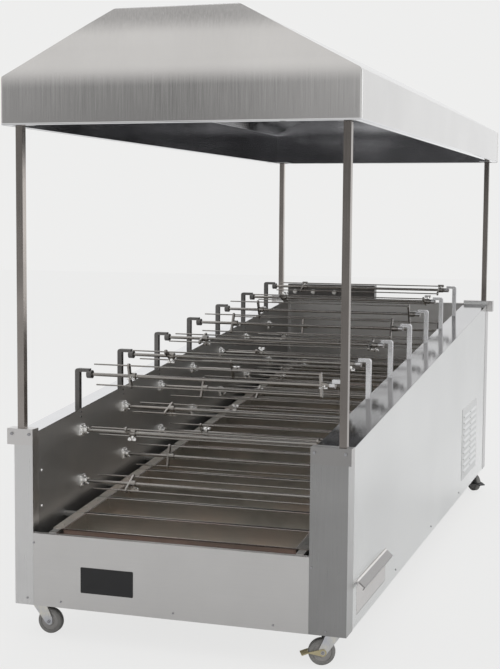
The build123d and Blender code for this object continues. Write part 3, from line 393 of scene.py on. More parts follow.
# Painted reflection: the sheets of the near right corner are painted darker than
# the rest, for the darker room they mirror. The second run lifts the far corners
# again, and "brightest" keeps them at one level.
NEAR_RIGHT_PAINTED_REFLECTION = (("X", -0.1, 0.1, 1.0, 0.475), ("Y", -0.1, 0.1, 1.0, 2.0))
finishes = {
    "column": steel(
        "column_steel", (0.66, 0.655, 0.65), 0.30, UPRIGHT, tone=0.14, clouds=(0.9, 1.06),
        runs=NEAR_RIGHT_PAINTED_REFLECTION, right_face_painted_light=1.8, brightest=0.98,
    ),
    "cap": steel(
        "cap_steel", (0.65, 0.635, 0.625), 0.30, ACROSS, tone=0.03, gloss_depth=0.05, bump=0.005,
        runs=NEAR_RIGHT_PAINTED_REFLECTION, right_face_painted_light=1.8, brightest=0.98,
    ),
    "end": steel("end_steel", (0.60, 0.59, 0.58), 0.34, ACROSS, tone=0.06, clouds=(0.96, 1.03)),
    "side": steel(
        "side_steel", (0.79, 0.795, 0.79), 0.24, UPRIGHT, tone=0.04, clouds=(0.95, 1.02),
        # painted light: the side panels are made lighter towards the bottom
        runs=(("Z", 0.13, 0.55, 1.22, 1.0),),
    ),
    "louvre": steel(
        "louvre_steel", (0.73, 0.735, 0.73), 0.36, UPRIGHT, tone=0.04, clouds=(0.95, 1.02)
    ),
    "drawer": steel(
        "drawer_steel", (0.80, 0.775, 0.76), 0.26, ALONG, tone=0.02, gloss_depth=0.05,
        clouds=(0.95, 1.02), bump=0.005, runs=(("X", 0.668, 0.671, 1.0, 0.42),),
    ),
    "hood": steel(
        "hood_steel", (0.66, 0.65, 0.64), 0.17, UPRIGHT, tone=0.16, clouds=(0.93, 1.05), cloud_size=1.6
    ),
    "hood_inside": steel(
        "hood_inside_steel", (0.36, 0.36, 0.37), 0.14, ALONG, tone=0.1, clouds=(0.6, 1.3)
    ),
    "post": steel(
        "post_steel", (0.235, 0.215, 0.20), 0.2, UPRIGHT, tone=0.2, clouds=(0.8, 1.15),
        runs=(("X", -0.6, 0.6, 1.35, 0.93),), right_face_painted_light=1.7,
    ),
    "polished": steel("polished_steel", (0.72, 0.72, 0.73), 0.08, ALONG, tone=0.03, bump=0.005),
    "cover": steel(
        "cover_steel", (0.43, 0.425, 0.43), 0.10, ALONG, tone=0.04, bump=0.005,
        # painted reflection: darker towards the near end, for the dark bed it mirrors
        runs=(("Y", -1.6, 0.5, 0.22, 1.0),),
    ),
    "inner": steel(
        "inner_steel", (0.46, 0.455, 0.445), 0.42, ALONG, tone=0.12, clouds=(0.8, 1.15),
        tint=(0.40, 0.37, 0.34), cloud_size=2.0, runs=(("Y", -1.7, 1.7, 1.15, 0.72),),
    ),
    "heat": steel(
        "heat_steel", (0.56, 0.54, 0.50), 0.34, ACROSS, tone=0.15, clouds=(0.75, 1.2),
        tint=(0.43, 0.34, 0.29), cloud_size=5.0,
        # the first run darkens the trays towards their right ends; the second, painted light, makes their
        # left flanges lighter
        runs=(("X", 0.44, 0.46, 1.0, 0.5), ("X", -0.496, -0.488, 1.6, 1.0)),
    ),
    "burnt": steel(
        "burnt_steel", (0.30, 0.20, 0.17), 0.4, ACROSS, tone=0.1, clouds=(0.7, 1.2), cloud_size=4.0
    ),
    "rim": steel(
        "rim_steel", (0.62, 0.60, 0.57), 0.25, ACROSS, tint=(0.35, 0.2, 0.17), cloud_size=4.0
    ),
    "frame": steel("frame_steel", (0.42, 0.42, 0.43), 0.4, UPRIGHT),
    "dark_bracket": steel(
        "dark_bracket_steel", (0.16, 0.155, 0.15), 0.32, UPRIGHT, tone=0.2, clouds=(0.7, 1.3)
    ),
    "bright_bracket": steel(
        "bright_bracket_steel", (0.74, 0.74, 0.75), 0.26, UPRIGHT, tone=0.02, gloss_depth=0.03, bump=0.0
    ),
    "bearing": steel("bearing_steel", (0.84, 0.83, 0.81), 0.2, ACROSS, tone=0.04, bump=0.01),
    "spit": steel(
        "spit_steel", (0.40, 0.385, 0.365), 0.24, ACROSS, tone=0.12, tint=(0.30, 0.26, 0.23), cloud_size=6.0
    ),
    "wing": steel("wing_steel", (0.93, 0.925, 0.91), 0.24, ACROSS, tone=0.02, bump=0.01),
    "chain": steel("chain_steel", (0.16, 0.15, 0.14), 0.38, ACROSS, tone=0.2),
    "bolt": steel("bolt_steel", (0.34, 0.34, 0.35), 0.2, ACROSS, tone=0.1),
    "zinc": steel(
        "zinc_steel", (0.62, 0.63, 0.66), 0.3, UPRIGHT, clouds=(0.8, 1.15), tint=(0.66, 0.6, 0.42),
        cloud_size=18.0,
    ),
}
print("steels", len(finishes))

# %% [markdown]
# ## Paint, rubber, plastic and the lamps
# These are not metal, so they get their own builder: a base colour with slow
# changes of tone, a fine speckle in the gloss, and a small bump.

# %% Coated materials
def coated(name, colour, gloss, speckle=0.15, coat=0.0):
    material, nodes, surface, place = start_material(name)
    feed(surface["Coat Weight"], coat)
    fine = add_node(nodes, "TexNoise", Vector=place["Object"], Scale=400.0)["Fac"]
    cloudy = add_node(
        nodes, "Group", cloud_group, Vector=place["Object"], Size=14.0, Low=1 - speckle, High=1 + speckle
    )
    rough = add_node(nodes, "MapRange", Value=fine, To_Min=gloss - 0.06, To_Max=gloss + 0.08)
    finish_surface(nodes, surface, colour, cloudy["Tone"], rough["Result"], fine, 0.05, 0.0004)
    return material


finishes["tyre"] = coated("grey_tyre", (0.23, 0.225, 0.215), 0.62)
finishes["hub"] = coated("pale_hub", (0.31, 0.30, 0.29), 0.45)
finishes["motor"] = coated("motor_enamel", (0.12, 0.14, 0.17), 0.35, coat=0.3)
finishes["plate"] = coated("dark_plate", (0.008, 0.008, 0.009), 0.5)
finishes["box"] = coated("box_enamel", (0.075, 0.068, 0.062), 0.3, speckle=0.3, coat=0.2)
finishes["yellow_zinc"] = coated("yellow_zinc", (0.46, 0.40, 0.24), 0.35)
finishes["pedal"] = coated("dark_pedal", (0.03, 0.03, 0.03), 0.45)
finishes["lamp"] = coated("pale_lamp", (0.82, 0.80, 0.76), 0.15, speckle=0.05, coat=0.6)
print("finishes", len(finishes))

# %% [markdown]
# ## Dress the pieces that keep their shape
# Folded sheet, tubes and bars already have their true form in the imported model,
# so they only change material.

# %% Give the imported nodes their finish
node_finish = {
    "base_frame": "frame",
    "corner_columns": "column",
    "column_caps": "cap",
    "hood_posts": "post",
    "left_outer_panel": "side",
    "right_outer_panel": "side",
    "left_inner_wall": "inner",
    "right_inner_wall": "inner",
    "left_top_rail": "polished",
    "right_top_cover": "cover",
    "end_panels": "end",
    "hood_canopy": "hood",
    "charcoal_trays": "heat",
    "tray_rails": "inner",
    "drip_floor": "inner",
    "left_spit_brackets": "dark_bracket",
    "right_spit_brackets": "bright_bracket",
    "spit_bearings": "bearing",
    "gear_motor": "motor",
    "motor_sprocket": "chain",
    "drive_chains": "chain",
    "louvre_panel": "louvre",
    "blank_plate": "plate",
    "control_box": "box",
    "ash_drawer": "inner",
    "drawer_front": "drawer",
    "drawer_runners": "frame",
    "caster_plates": "zinc",
    "panel_fasteners": "bolt",
    "brake_pedal_front_right": "yellow_zinc",
    "brake_pedal_rear_right": "pedal",
}


def finish_of(node):
    """Listed pieces have their own finish; spits, yokes and wheels go by their names."""
    if node in node_finish:
        return node_finish[node]
    if "_spit_" in node:
        return "spit"
    return "zinc" if "yoke" in node else "tyre"


for node in frame["nodes"]:
    mesh = bpy.data.objects[node].data
    mesh.materials.clear()
    mesh.materials.append(finishes[finish_of(node)])
print("dressed", len(frame["nodes"]))

# %% [markdown]
# ## Hood
# The real hood is bent from a few wide sheets and welded at the corners. The
# bend above each end face is a shallow one over a big radius, so it shows only
# as a soft change of tone: two extra rows of edges beside it let smooth shading
# spread the change. It starts as a block, its top face is pulled up and drawn
# in, the tight bends are bevelled, the underside is opened, and the sheet gets
# its thickness last, so that inside and outside stay parallel. A narrow bright
# hem runs round the bottom edge, and the end sheets lap round the corners.

# %% Hood shell
hood_low, hood_high = node_box("hood_canopy")
SHEET, TIGHT_BEND = 0.002, 0.006
FASCIA, RISE = 0.178, 0.242
TOP_HALF_WIDTH, END_INSET = 0.240, 0.030
COLLAR_RADIUS = 0.150
CORNERS = [(x_side, y_side) for x_side in (-1, 1) for y_side in (-1, 1)]
fascia_top = hood_low.z + FASCIA
peak = fascia_top + RISE

hood = start_cube("hood_shell", hood_low, (hood_high.x, hood_high.y, fascia_top))
pick_faces(hood, lambda c, n: n.z > 0.9)
bpy.ops.mesh.extrude_region_move(TRANSFORM_OT_translate={"value": (0, 0, RISE)})
bpy.ops.transform.resize(
    value=(TOP_HALF_WIDTH / hood_high.x, (hood_high.y - END_INSET) / hood_high.y, 1),
    center_override=(0, 0, peak),
)
pick_faces(hood, lambda c, n: n.z < -0.9)
bpy.ops.mesh.delete(type="FACE")
# the long side bends, the rim of the flat top and the upright corners are tight
pick_edges(
    hood,
    lambda a, b: at_height(a, b, fascia_top) and abs(a.x - b.x) < 1e-4
    or min(a.z, b.z) > peak - 1e-4
    or max(a.z, b.z) < fascia_top and abs(a.z - b.z) > 0.1,
)
bpy.ops.mesh.bevel(offset=TIGHT_BEND, segments=3, affect="EDGES")
print("hood block", [round(v, 3) for v in (*hood_low, *hood_high)])

# %% Rows of edges beside the shallow bend
SOFT_BEND = 0.045
soft_rows = (fascia_top - SOFT_BEND, fascia_top + SOFT_BEND)
for cut_height in soft_rows:
    add_row(cut_height)
print("rows beside the bend at", [round(z, 3) for z in soft_rows])

# %% A slight bow in the two end slopes, as wide sheet has
for level, bow in ((0.25, 0.0021), (0.5, 0.003), (0.75, 0.0021)):
    cut_height = fascia_top + SOFT_BEND + level * (RISE - SOFT_BEND)
    add_row(cut_height)
    for end in (-1, 1):
        pick_edges(
            hood,
            lambda a, b: at_height(a, b, cut_height)
            and min(end * a.y, end * b.y) > hood_high.y - END_INSET,
        )
        bpy.ops.transform.translate(value=(0, end * bow, 0))
bpy.ops.mesh.select_all(action="SELECT")
bpy.ops.mesh.remove_doubles(threshold=0.00005)
bpy.ops.mesh.normals_make_consistent(inside=False)
leave_edit()
hood.data.materials.append(finishes["hood"])
hood.data.materials.append(finishes["hood_inside"])
apply_modifier(hood, "SOLIDIFY", thickness=SHEET, offset=-1.0, material_offset=1)
print("hood sheet", len(hood.data.polygons), "faces")

# %% Hole for the outlet, cut with a plug
plug = start_cylinder("outlet_plug", COLLAR_RADIUS - SHEET, 0.05, (0, 0, peak), sides=96)
leave_edit()
apply_modifier(hood, "BOOLEAN", operation="DIFFERENCE", object=plug, solver="EXACT")
bpy.data.objects.remove(plug)
smooth(hood, 40)
apply_modifier(hood, "WEIGHTED_NORMAL", keep_sharp=True, weight=50)
hand_over(hood, "body", "hood_steel", "hood_canopy")
print("hood", len(hood.data.polygons), "faces")

# %% Bright hem round the hood's bottom edge
HEM_HEIGHT, HEM_PROUD, HEM_DROP = 0.006, 0.0014, 0.001
hem_ring = start_cube(
    "hood_hem",
    (hood_low.x, hood_low.y, hood_low.z - HEM_DROP),
    (hood_high.x, hood_high.y, hood_low.z + HEM_HEIGHT),
)
pick_faces(hem_ring, lambda c, n: abs(n.z) > 0.9)
bpy.ops.mesh.delete(type="FACE")
pick_edges(hem_ring, lambda a, b: abs(a.z - b.z) > 0.005)
bpy.ops.mesh.bevel(offset=TIGHT_BEND, segments=3, affect="EDGES")
leave_edit()
apply_modifier(hem_ring, "SOLIDIFY", thickness=HEM_PROUD, offset=1.0)
apply_modifier(hem_ring, "BEVEL", width=0.0005, segments=2, limit_method="ANGLE")
hem_ring.data.materials.append(finishes["polished"])
smooth(hem_ring)
hand_over(hem_ring, "body", "hood_steel")
print("hem", [round(v, 3) for v in hem_ring.dimensions])

# %% Laps of the end sheets round the four corners
LAP_WIDTH, LAP_THICKNESS, LAP_FROM_END = 0.016, 0.0012, 0.004
laps = []
for x_side, y_side in CORNERS:
    face_x, corner_y = x_side * hood_high.x, y_side * (hood_high.y - LAP_FROM_END)
    low_x, high_x = sorted((face_x, face_x + x_side * LAP_THICKNESS))
    low_y, high_y = sorted((corner_y, corner_y - y_side * LAP_WIDTH))
    lap = start_cube(
        "hood_lap",
        (low_x, low_y, hood_low.z + HEM_HEIGHT),
        (high_x, high_y, fascia_top - TIGHT_BEND),
    )
    pick_faces(lap, lambda c, n: x_side * n.x > 0.9)
    bpy.ops.mesh.bevel(offset=0.0005, segments=2, affect="EDGES")
    leave_edit()
    laps.append(lap)
hood_laps = join_pieces("hood_laps", laps)
# painted highlight: the laps take the bright wing steel, lighter than the hood round them
hood_laps.data.materials.append(finishes["wing"])
smooth(hood_laps)
hand_over(hood_laps, "body", "hood_steel")
print("laps", len(laps))

# %% [markdown]
# ## Hood lip, post plates and outlet collar
# The lip is a flat rectangle with its middle taken out. A square plate with
# round corners lies between each post and the hood. The collar is a tube whose
# lower edge is turned out into a flange.

# %% Lip
LIP = 0.026
clear_selection()
bpy.ops.mesh.primitive_plane_add(size=1, location=(0, 0, hood_low.z + SHEET))
lip = bpy.context.object
lip.name = "hood_lip"
lip.scale = (2 * (hood_high.x - SHEET), 2 * (hood_high.y - SHEET), 1)
settle(lip)
bpy.ops.object.mode_set(mode="EDIT")
bpy.ops.mesh.select_all(action="SELECT")
bpy.ops.mesh.inset(thickness=LIP)
bpy.ops.mesh.delete(type="FACE")
leave_edit()
apply_modifier(lip, "SOLIDIFY", thickness=SHEET, offset=-1.0)
lip.data.materials.append(finishes["polished"])
hand_over(lip, "body", "hood_steel")
print("lip", [round(v, 3) for v in lip.dimensions])

# %% Post plates
POST_PLATE_HALF, POST_PLATE_GAP = 0.048, 0.0005
POST_PLATE_FOOT, POST_PLATE_TOP = 0.0022, 0.0062
plates = []
for x_side, y_side in CORNERS:
    x = x_side * (hood_high.x - SHEET - POST_PLATE_HALF - POST_PLATE_GAP)
    y = y_side * (hood_high.y - SHEET - POST_PLATE_HALF - POST_PLATE_GAP)
    plate = start_cube(
        "post_plate",
        (x - POST_PLATE_HALF, y - POST_PLATE_HALF, hood_low.z + POST_PLATE_FOOT),
        (x + POST_PLATE_HALF, y + POST_PLATE_HALF, hood_low.z + POST_PLATE_TOP),
    )
    pick_edges(plate, lambda a, b: abs(a.z - b.z) > 0.001)
    bpy.ops.mesh.bevel(offset=0.008, segments=3, affect="EDGES")
    leave_edit()
    plates.append(plate)
post_plates = join_pieces("post_plates", plates)
post_plates.data.materials.append(finishes["frame"])
smooth(post_plates)
hand_over(post_plates, "body", "hood_steel")
print("post plates", len(plates))

# %% Outlet collar
COLLAR_SHEET, FLANGE_SPREAD = 0.0019, 1.147
collar_top = hood_high.z
collar = start_cylinder(
    "duct_collar", COLLAR_RADIUS, collar_top - peak, (0, 0, (collar_top + peak) / 2), sides=96
)
pick_faces(collar, lambda c, n: abs(n.z) > 0.9)
bpy.ops.mesh.delete(type="FACE")
pick_edges(collar, lambda a, b: max(a.z, b.z) < peak + 0.001)
bpy.ops.mesh.extrude_region_move(TRANSFORM_OT_translate={"value": (0, 0, 0)})
bpy.ops.transform.resize(value=(FLANGE_SPREAD, FLANGE_SPREAD, 1), center_override=(0, 0, peak))
leave_edit()
apply_modifier(collar, "SOLIDIFY", thickness=COLLAR_SHEET, offset=-1.0)
apply_modifier(collar, "BEVEL", width=0.0006, segments=2, limit_method="ANGLE")
collar.data.materials.append(finishes["side"])
smooth(collar)
hand_over(collar, "body", "hood_steel")
print("collar", [round(v, 3) for v in collar.dimensions])

# %% [markdown]
# ## Closing plates of the column caps
# The caps round the post feet are open towards the bed, and the top covers end
# just before them. A small plate closes each of the four gaps, as the welded
# corner does on the real roaster. Each is a thin block with a soft upper edge.

# %% Cap plates
cap_low, cap_high = node_box("column_caps")
cover_low, cover_high = node_box("right_top_cover")
rail_low, rail_high = node_box("left_top_rail")
CAP_HEIGHT, PLATE_GAP, PLATE_THICK = 0.063, 0.0002, 0.0012
closers = []
for low, high in ((cover_low, cover_high), (rail_low, rail_high)):
    for end, foot, top in (
        (low.y, low.z, cap_low.z + CAP_HEIGHT - SHEET),
        (high.y, high.z, cap_high.z - SHEET),
    ):
        side = 1 if end > 0 else -1
        back = end + side * PLATE_GAP
        low_y, high_y = sorted((back, back + side * PLATE_THICK))
        closer = start_cube("cap_plate", (low.x, low_y, foot + PLATE_GAP), (high.x, high_y, top))
        pick_edges(closer, lambda a, b: min(a.z, b.z) > top - 0.0005 and abs(a.x - b.x) > 0.01)
        bpy.ops.mesh.bevel(offset=0.0004, segments=2, affect="EDGES")
        leave_edit()
        closers.append(closer)
cap_plates = join_pieces("cap_plates", closers)
cap_plates.data.materials.append(finishes["side"])
hand_over(cap_plates, "body", "brushed_steel")
print("cap plates", [round(v, 3) for v in cap_plates.dimensions])

# %% [markdown]
# ## Charcoal trays: folded rims
# Each tray's top edge is turned over into a narrow hem. The hems catch the light
# and read as bright lines across the bed. One is made at the near end and copied
# up the slope, each copy square to the bed.

# %% Tray rims
TRAYS, TRAY_PITCH, TRAY_WIDTH, TRAY_FLANGE = 16, 0.217, 0.206, 0.045
FIRST_TRAY, TRAY_DROP = 0.069, -0.385
BODY_HALF_Y, WALL_NEAR, WALL_FAR = 1.774, 0.803, 1.131
RIM_FOOT, RIM_TOP, RIM_WIDTH = -0.004, 0.0012, 0.0045
rise_rate = (WALL_FAR - WALL_NEAR) / (2 * BODY_HALF_Y)
bed_tilt = atan(rise_rate)


def slope_height(y, offset):
    """The height at y of a line that runs at an offset from the wall tops."""
    return WALL_NEAR + (y + BODY_HALF_Y) * rise_rate + offset


tray_low, tray_high = node_box("charcoal_trays")
hem_left, hem_right = tray_low.x + TRAY_FLANGE, tray_high.x - TRAY_FLANGE
hem = start_cube("tray_hem", (hem_left, 0, RIM_FOOT), (hem_right, TRAY_WIDTH, RIM_TOP))
pick_faces(hem, lambda c, n: abs(n.z) > 0.9)
bpy.ops.mesh.inset(thickness=RIM_WIDTH)
bpy.ops.mesh.bridge_edge_loops()
pick_edges(hem, lambda a, b: a.z > 0 and b.z > 0)
bpy.ops.mesh.bevel(offset=RIM_TOP, segments=2, affect="EDGES")
leave_edit()
hem.data.materials.append(finishes["rim"])
hems = []
for k in range(TRAYS):
    y = -BODY_HALF_Y + FIRST_TRAY + k * TRAY_PITCH
    place = Matrix.Translation((0, y, slope_height(y, TRAY_DROP))) @ Matrix.Rotation(bed_tilt, 4, "X")
    hems.append(copy_of(hem, f"tray_hem_{k}", place))
bpy.data.objects.remove(hem)
tray_rims = join_pieces("tray_rims", hems)
smooth(tray_rims)
hand_over(tray_rims, "body", "heat_steel")
print("tray rims", len(tray_rims.data.polygons))

# %% Burnt strip between the front panel and the first tray
STRIP_DROP, STRIP_INSET, STRIP_THICK = 0.008, 0.006, 0.0015
front_top = max(v.co.z for v in bpy.data.objects["end_panels"].data.vertices if v.co.y < 0)
tray_near = tray_low.y
strip = start_cube(
    "burnt_strip",
    (tray_low.x + STRIP_INSET, -BODY_HALF_Y + STRIP_INSET, front_top - STRIP_DROP - STRIP_THICK),
    (tray_high.x - STRIP_INSET, tray_near + STRIP_INSET, front_top - STRIP_DROP),
)
# the far edge is turned down towards the first tray
pick_edges(strip, lambda a, b: min(a.y, b.y) > tray_near)
bpy.ops.mesh.extrude_region_move(TRANSFORM_OT_translate={"value": (0, 0.001, -0.018)})
bpy.ops.mesh.select_all(action="SELECT")
bpy.ops.mesh.normals_make_consistent(inside=False)
leave_edit()
strip.data.materials.append(finishes["burnt"])
hand_over(strip, "body", "heat_steel")
print("front edge", round(front_top, 4), "first tray from", round(tray_near, 4))

# %% [markdown]
# ## Caster wheels
# A grey rubber tread on a paler hub. The tread is a cylinder with rounded
# shoulders; each side is inset, stepped in for the hub and out again for the
# bearing boss. A round axle with a small step at each end passes through.

# %% One wheel at the origin, its axle along Y
WHEEL_RADIUS, WHEEL_WIDTH = 0.05, 0.032
AXLE_RADIUS, AXLE_LENGTH = 0.0058, 0.0545
ALONG_Y = (pi / 2, 0, 0)
wheel = start_cylinder("wheel", WHEEL_RADIUS, WHEEL_WIDTH, (0, 0, 0), turn=ALONG_Y, sides=64)
for finish in ("tyre", "hub", "bolt"):
    wheel.data.materials.append(finishes[finish])
pick_faces(wheel, lambda c, n: abs(n.y) > 0.9)
bpy.ops.mesh.bevel(offset=0.007, segments=4, affect="EDGES")
# each flat side: a rubber rim, a step in to the hub, and a step out to the boss
pick_faces(wheel, lambda c, n: abs(n.y) > 0.99)
bpy.ops.mesh.inset(thickness=0.007)
bpy.ops.mesh.inset(thickness=0.0015, depth=-0.003)
wheel.active_material_index = 1
bpy.ops.object.material_slot_assign()
bpy.ops.mesh.inset(thickness=0.015)
bpy.ops.mesh.inset(thickness=0.002, depth=0.0035)
bpy.ops.mesh.inset(thickness=0.004)
wheel.active_material_index = 2
bpy.ops.object.material_slot_assign()
leave_edit()
smooth(wheel, 35)

axle = start_cylinder("axle", AXLE_RADIUS, AXLE_LENGTH, (0, 0, 0), turn=ALONG_Y, sides=24)
pick_faces(axle, lambda c, n: abs(n.y) > 0.9)
bpy.ops.mesh.inset(thickness=0.001, depth=0.0008)
leave_edit()
axle.data.materials.append(finishes["bolt"])
smooth(axle)
rolling = join_pieces("rolling_wheel", [wheel, axle])
print("wheel", len(rolling.data.polygons), "faces")

# %% Four wheels, each turned onto its own axle line
roll_joints = {j["child"]: j for j in frame["joints"] if j["name"].startswith("roll_")}
for corner in ("front_left", "front_right", "rear_left", "rear_right"):
    joint = roll_joints[f"wheel_{corner}"]
    axis = Vector(joint["axis"]).normalized()
    turn = Vector((0, 1, 0)).rotation_difference(axis).to_matrix().to_4x4()
    place = Matrix.Translation(joint["pos_m"]) @ turn
    one = copy_of(rolling, f"wheel_{corner}_dressed", place)
    hand_over(one, f"wheel_{corner}", "wheel_rubber", f"caster_wheel_{corner}")
bpy.data.objects.remove(rolling)
print("wheels", len(roll_joints))

# %% [markdown]
# ## Bearing faces
# The driven spits pass the left wall through small cast bearings: a square plate
# with soft edges, a domed bolt at each corner and a collar round a dark bore.
# They are chromed, so the domes and soft edges matter: a flat face would only
# mirror the dark bed. One is shaped from a cube, a cylinder and four domes, and
# copied along both rows. Two more domed screws hold the wall at its near end.

# %% Plate and collar of one bearing face, on its wall at x = 0
PLATE_HALF, PLATE_DEEP, BOLT_STEP, BOLT_RADIUS = 0.0258, 0.0093, 0.0155, 0.0058
COLLAR_OUTER, NOSE_END = 0.0162, 0.0262
face_plate = start_cube(
    "bearing_plate", (PLATE_GAP, -PLATE_HALF, -PLATE_HALF), (PLATE_DEEP, PLATE_HALF, PLATE_HALF)
)
pick_edges(face_plate, lambda a, b: abs(a.x - b.x) > 0.005)
bpy.ops.mesh.bevel(offset=0.009, segments=4, affect="EDGES")
pick_faces(face_plate, lambda c, n: n.x > 0.95)
bpy.ops.mesh.bevel(offset=0.0028, segments=3, affect="EDGES")
leave_edit()
collar_ring = start_cylinder(
    "bearing_collar", COLLAR_OUTER, NOSE_END - PLATE_DEEP, ((NOSE_END + PLATE_DEEP) / 2, 0, 0),
    turn=(0, pi / 2, 0), sides=32,
)
pick_faces(collar_ring, lambda c, n: n.x > 0.95)
bpy.ops.mesh.bevel(offset=0.003, segments=3, affect="EDGES")
# the bore: its bottom stays open, because the spit passes through
pick_faces(collar_ring, lambda c, n: n.x > 0.95)
bpy.ops.mesh.inset(thickness=0.0026)
bpy.ops.mesh.inset(thickness=0.0006, depth=-0.006)
bpy.ops.mesh.delete(type="FACE")
leave_edit()
for part in (face_plate, collar_ring):
    part.data.materials.append(finishes["wing"])
print("bearing nose", NOSE_END)

# %% Domed heads, and the whole bearing face
def dome(name, x, y, z, radius):
    """A low domed head on a wall that looks to +X: half a ball, pressed flatter."""
    clear_selection()
    bpy.ops.mesh.primitive_uv_sphere_add(
        segments=16, ring_count=10, radius=radius, location=(x, y, z)
    )
    head = bpy.context.object
    head.name = name
    settle(head)
    bpy.ops.object.mode_set(mode="EDIT")
    bpy.ops.mesh.select_all(action="SELECT")
    bpy.ops.mesh.bisect(plane_co=(x, y, z), plane_no=(1, 0, 0), clear_inner=True, use_fill=True)
    bpy.ops.mesh.select_all(action="SELECT")
    bpy.ops.transform.resize(value=(0.8, 1, 1), center_override=(x, y, z))
    bpy.ops.mesh.normals_make_consistent(inside=False)
    leave_edit()
    head.data.materials.append(finishes["wing"])
    return head


bolts = [
    dome("bearing_bolt", PLATE_DEEP, y_side * BOLT_STEP, z_side * BOLT_STEP, BOLT_RADIUS)
    for y_side, z_side in CORNERS
]
bearing_face = join_pieces("bearing_face", [face_plate, collar_ring, *bolts])
smooth(bearing_face, 40)
print("bearing face", len(bearing_face.data.polygons), "faces")

# %% Bearing faces along the left wall, and the two wall screws
FIRE_LEFT = -0.586
STATIONS = [-1.337 + k * 0.4375 for k in range(7)]
ROW_HEIGHTS = {"top": 0.145, "middle": -0.090, "low": -0.302}
SCREW_Y, SCREW_HEIGHTS, SCREW_RADIUS, SCREW_LIFT = -1.70, (0.649, 0.508), 0.006, 0.0003
faces = []
for row in ("middle", "low"):
    for y in STATIONS:
        place = Matrix.Translation((FIRE_LEFT, y, slope_height(y, ROW_HEIGHTS[row])))
        faces.append(copy_of(bearing_face, "bearing_face_copy", place))
for z in SCREW_HEIGHTS:
    faces.append(dome("wall_screw", FIRE_LEFT + SCREW_LIFT, SCREW_Y, z, SCREW_RADIUS))
bearing_faces = join_pieces("bearing_faces", faces)
smooth(bearing_faces, 40)
hand_over(bearing_faces, "body", "bearing_steel")
bpy.data.objects.remove(bearing_face)
print("bearing faces", len(faces), "pieces", len(bearing_faces.data.polygons), "faces")

# %% [markdown]
# ## Wing screws on the spits
# Each fork and each guide plate is clamped by a wing screw. The real ones are
# cast, with two round ears, and they catch the light as small white spots. A
# boss and two flat ears are made from cylinders, the ears are drawn out at their
# tips, and the finished screw is copied to both hubs of every spit. It stands at
# another angle on each spit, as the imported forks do.

# %% One wing screw, standing on the axis of a spit
HUB_RADIUS, BOSS_RADIUS, BOSS_LENGTH = 0.01405, 0.0062, 0.009
EAR_RADIUS, EAR_THICK, EAR_RISE, EAR_STEP, EAR_TIP = 0.0082, 0.0052, 0.013, 0.0088, 0.0125
boss = start_cylinder(
    "wing_boss", BOSS_RADIUS, BOSS_LENGTH, (0, 0, HUB_RADIUS + BOSS_LENGTH / 2), sides=24
)
pick_faces(boss, lambda c, n: n.z > 0.9)
bpy.ops.mesh.inset(thickness=0.0014, depth=0.0022)
leave_edit()
screw_parts = [boss]
for ear_side in (-1, 1):
    ear = start_cylinder(
        "wing_ear", EAR_RADIUS, EAR_THICK, (ear_side * EAR_STEP, 0, HUB_RADIUS + EAR_RISE),
        turn=ALONG_Y, sides=28,
    )
    pick_faces(ear, lambda c, n: abs(n.y) > 0.9)
    bpy.ops.mesh.bevel(offset=0.0012, segments=2, affect="EDGES")
    pick_edges(ear, lambda a, b: min(ear_side * a.x, ear_side * b.x) > EAR_TIP)
    bpy.ops.transform.translate(value=(ear_side * 0.0012, 0, 0.0016))
    leave_edit()
    screw_parts.append(ear)
wing_screw = join_pieces("wing_screw", screw_parts)
wing_screw.data.materials.append(finishes["wing"])
smooth(wing_screw, 35)
print("wing screw", len(wing_screw.data.polygons), "faces")

# %% Copies on both hubs of every spit
ROW_TURNS = {"top": 14.0, "middle": 62.0, "low": 118.0}
TURN_STEP, HUB_PLACES = 47.0, (0.459, -0.351)
for row, row_turn in ROW_TURNS.items():
    for k, y in enumerate(STATIONS):
        angle = radians(row_turn + TURN_STEP * k)
        out = Vector((0, -cos(angle), -sin(angle)))
        turn = Vector((0, 0, 1)).rotation_difference(out).to_matrix().to_4x4()
        z = slope_height(y, ROW_HEIGHTS[row])
        screws = [
            copy_of(wing_screw, f"{row}_wing_screw_{k + 1}", Matrix.Translation((x, y, z)) @ turn)
            for x in HUB_PLACES
        ]
        pair = join_pieces(f"{row}_wing_screws_{k + 1}", screws)
        hand_over(pair, f"{row}_spit_{k + 1}", "spit_steel")
bpy.data.objects.remove(wing_screw)
print("wing screws", len(HUB_PLACES) * len(STATIONS) * len(ROW_TURNS))

# %% [markdown]
# ## Control box: lamps with bezels
# Three pale round lamps show on the dark box. Each is a low glass dome in a thin
# bright ring.

# %% Lamp domes and rings
LAMP_STEPS, LAMP_RISE = (0.048, 0.165, 0.301), 0.047
GLASS_RADIUS, GLASS_DEEP = 0.0125, 0.004
RING_RADIUS, RING_DEEP, RING_BACK = 0.0155, 0.003, 0.0125
box_low = node_box("control_box")[0]
for index, step in enumerate(LAMP_STEPS, 1):
    place = Vector((box_low.x + step, box_low.y, box_low.z + LAMP_RISE))
    glass = start_cylinder(
        f"lamp_dome_{index}", GLASS_RADIUS, GLASS_DEEP, place - Vector((0, GLASS_DEEP / 2, 0)),
        turn=ALONG_Y, sides=40,
    )
    pick_faces(glass, lambda c, n: n.y < -0.9)
    bpy.ops.mesh.bevel(offset=0.002, segments=4, affect="EDGES")
    leave_edit()
    glass.data.materials.append(finishes["lamp"])
    smooth(glass)
    hand_over(glass, "body", "box_dark")
    ring = start_cylinder(
        f"lamp_ring_{index}", RING_RADIUS, RING_DEEP, place + Vector((0, RING_BACK, 0)),
        turn=ALONG_Y, sides=40,
    )
    pick_faces(ring, lambda c, n: abs(n.y) > 0.9)
    bpy.ops.mesh.inset(thickness=0.0013)
    leave_edit()
    ring.data.materials.append(finishes["bearing"])
    smooth(ring)
    hand_over(ring, "body", "box_dark")
print("lamps", len(LAMP_STEPS))

# %% [markdown]
# ## Camera
# The camera stands where the photograph was taken: at a standing person's eye
# height, near the right front corner, turned to the left and a little down.

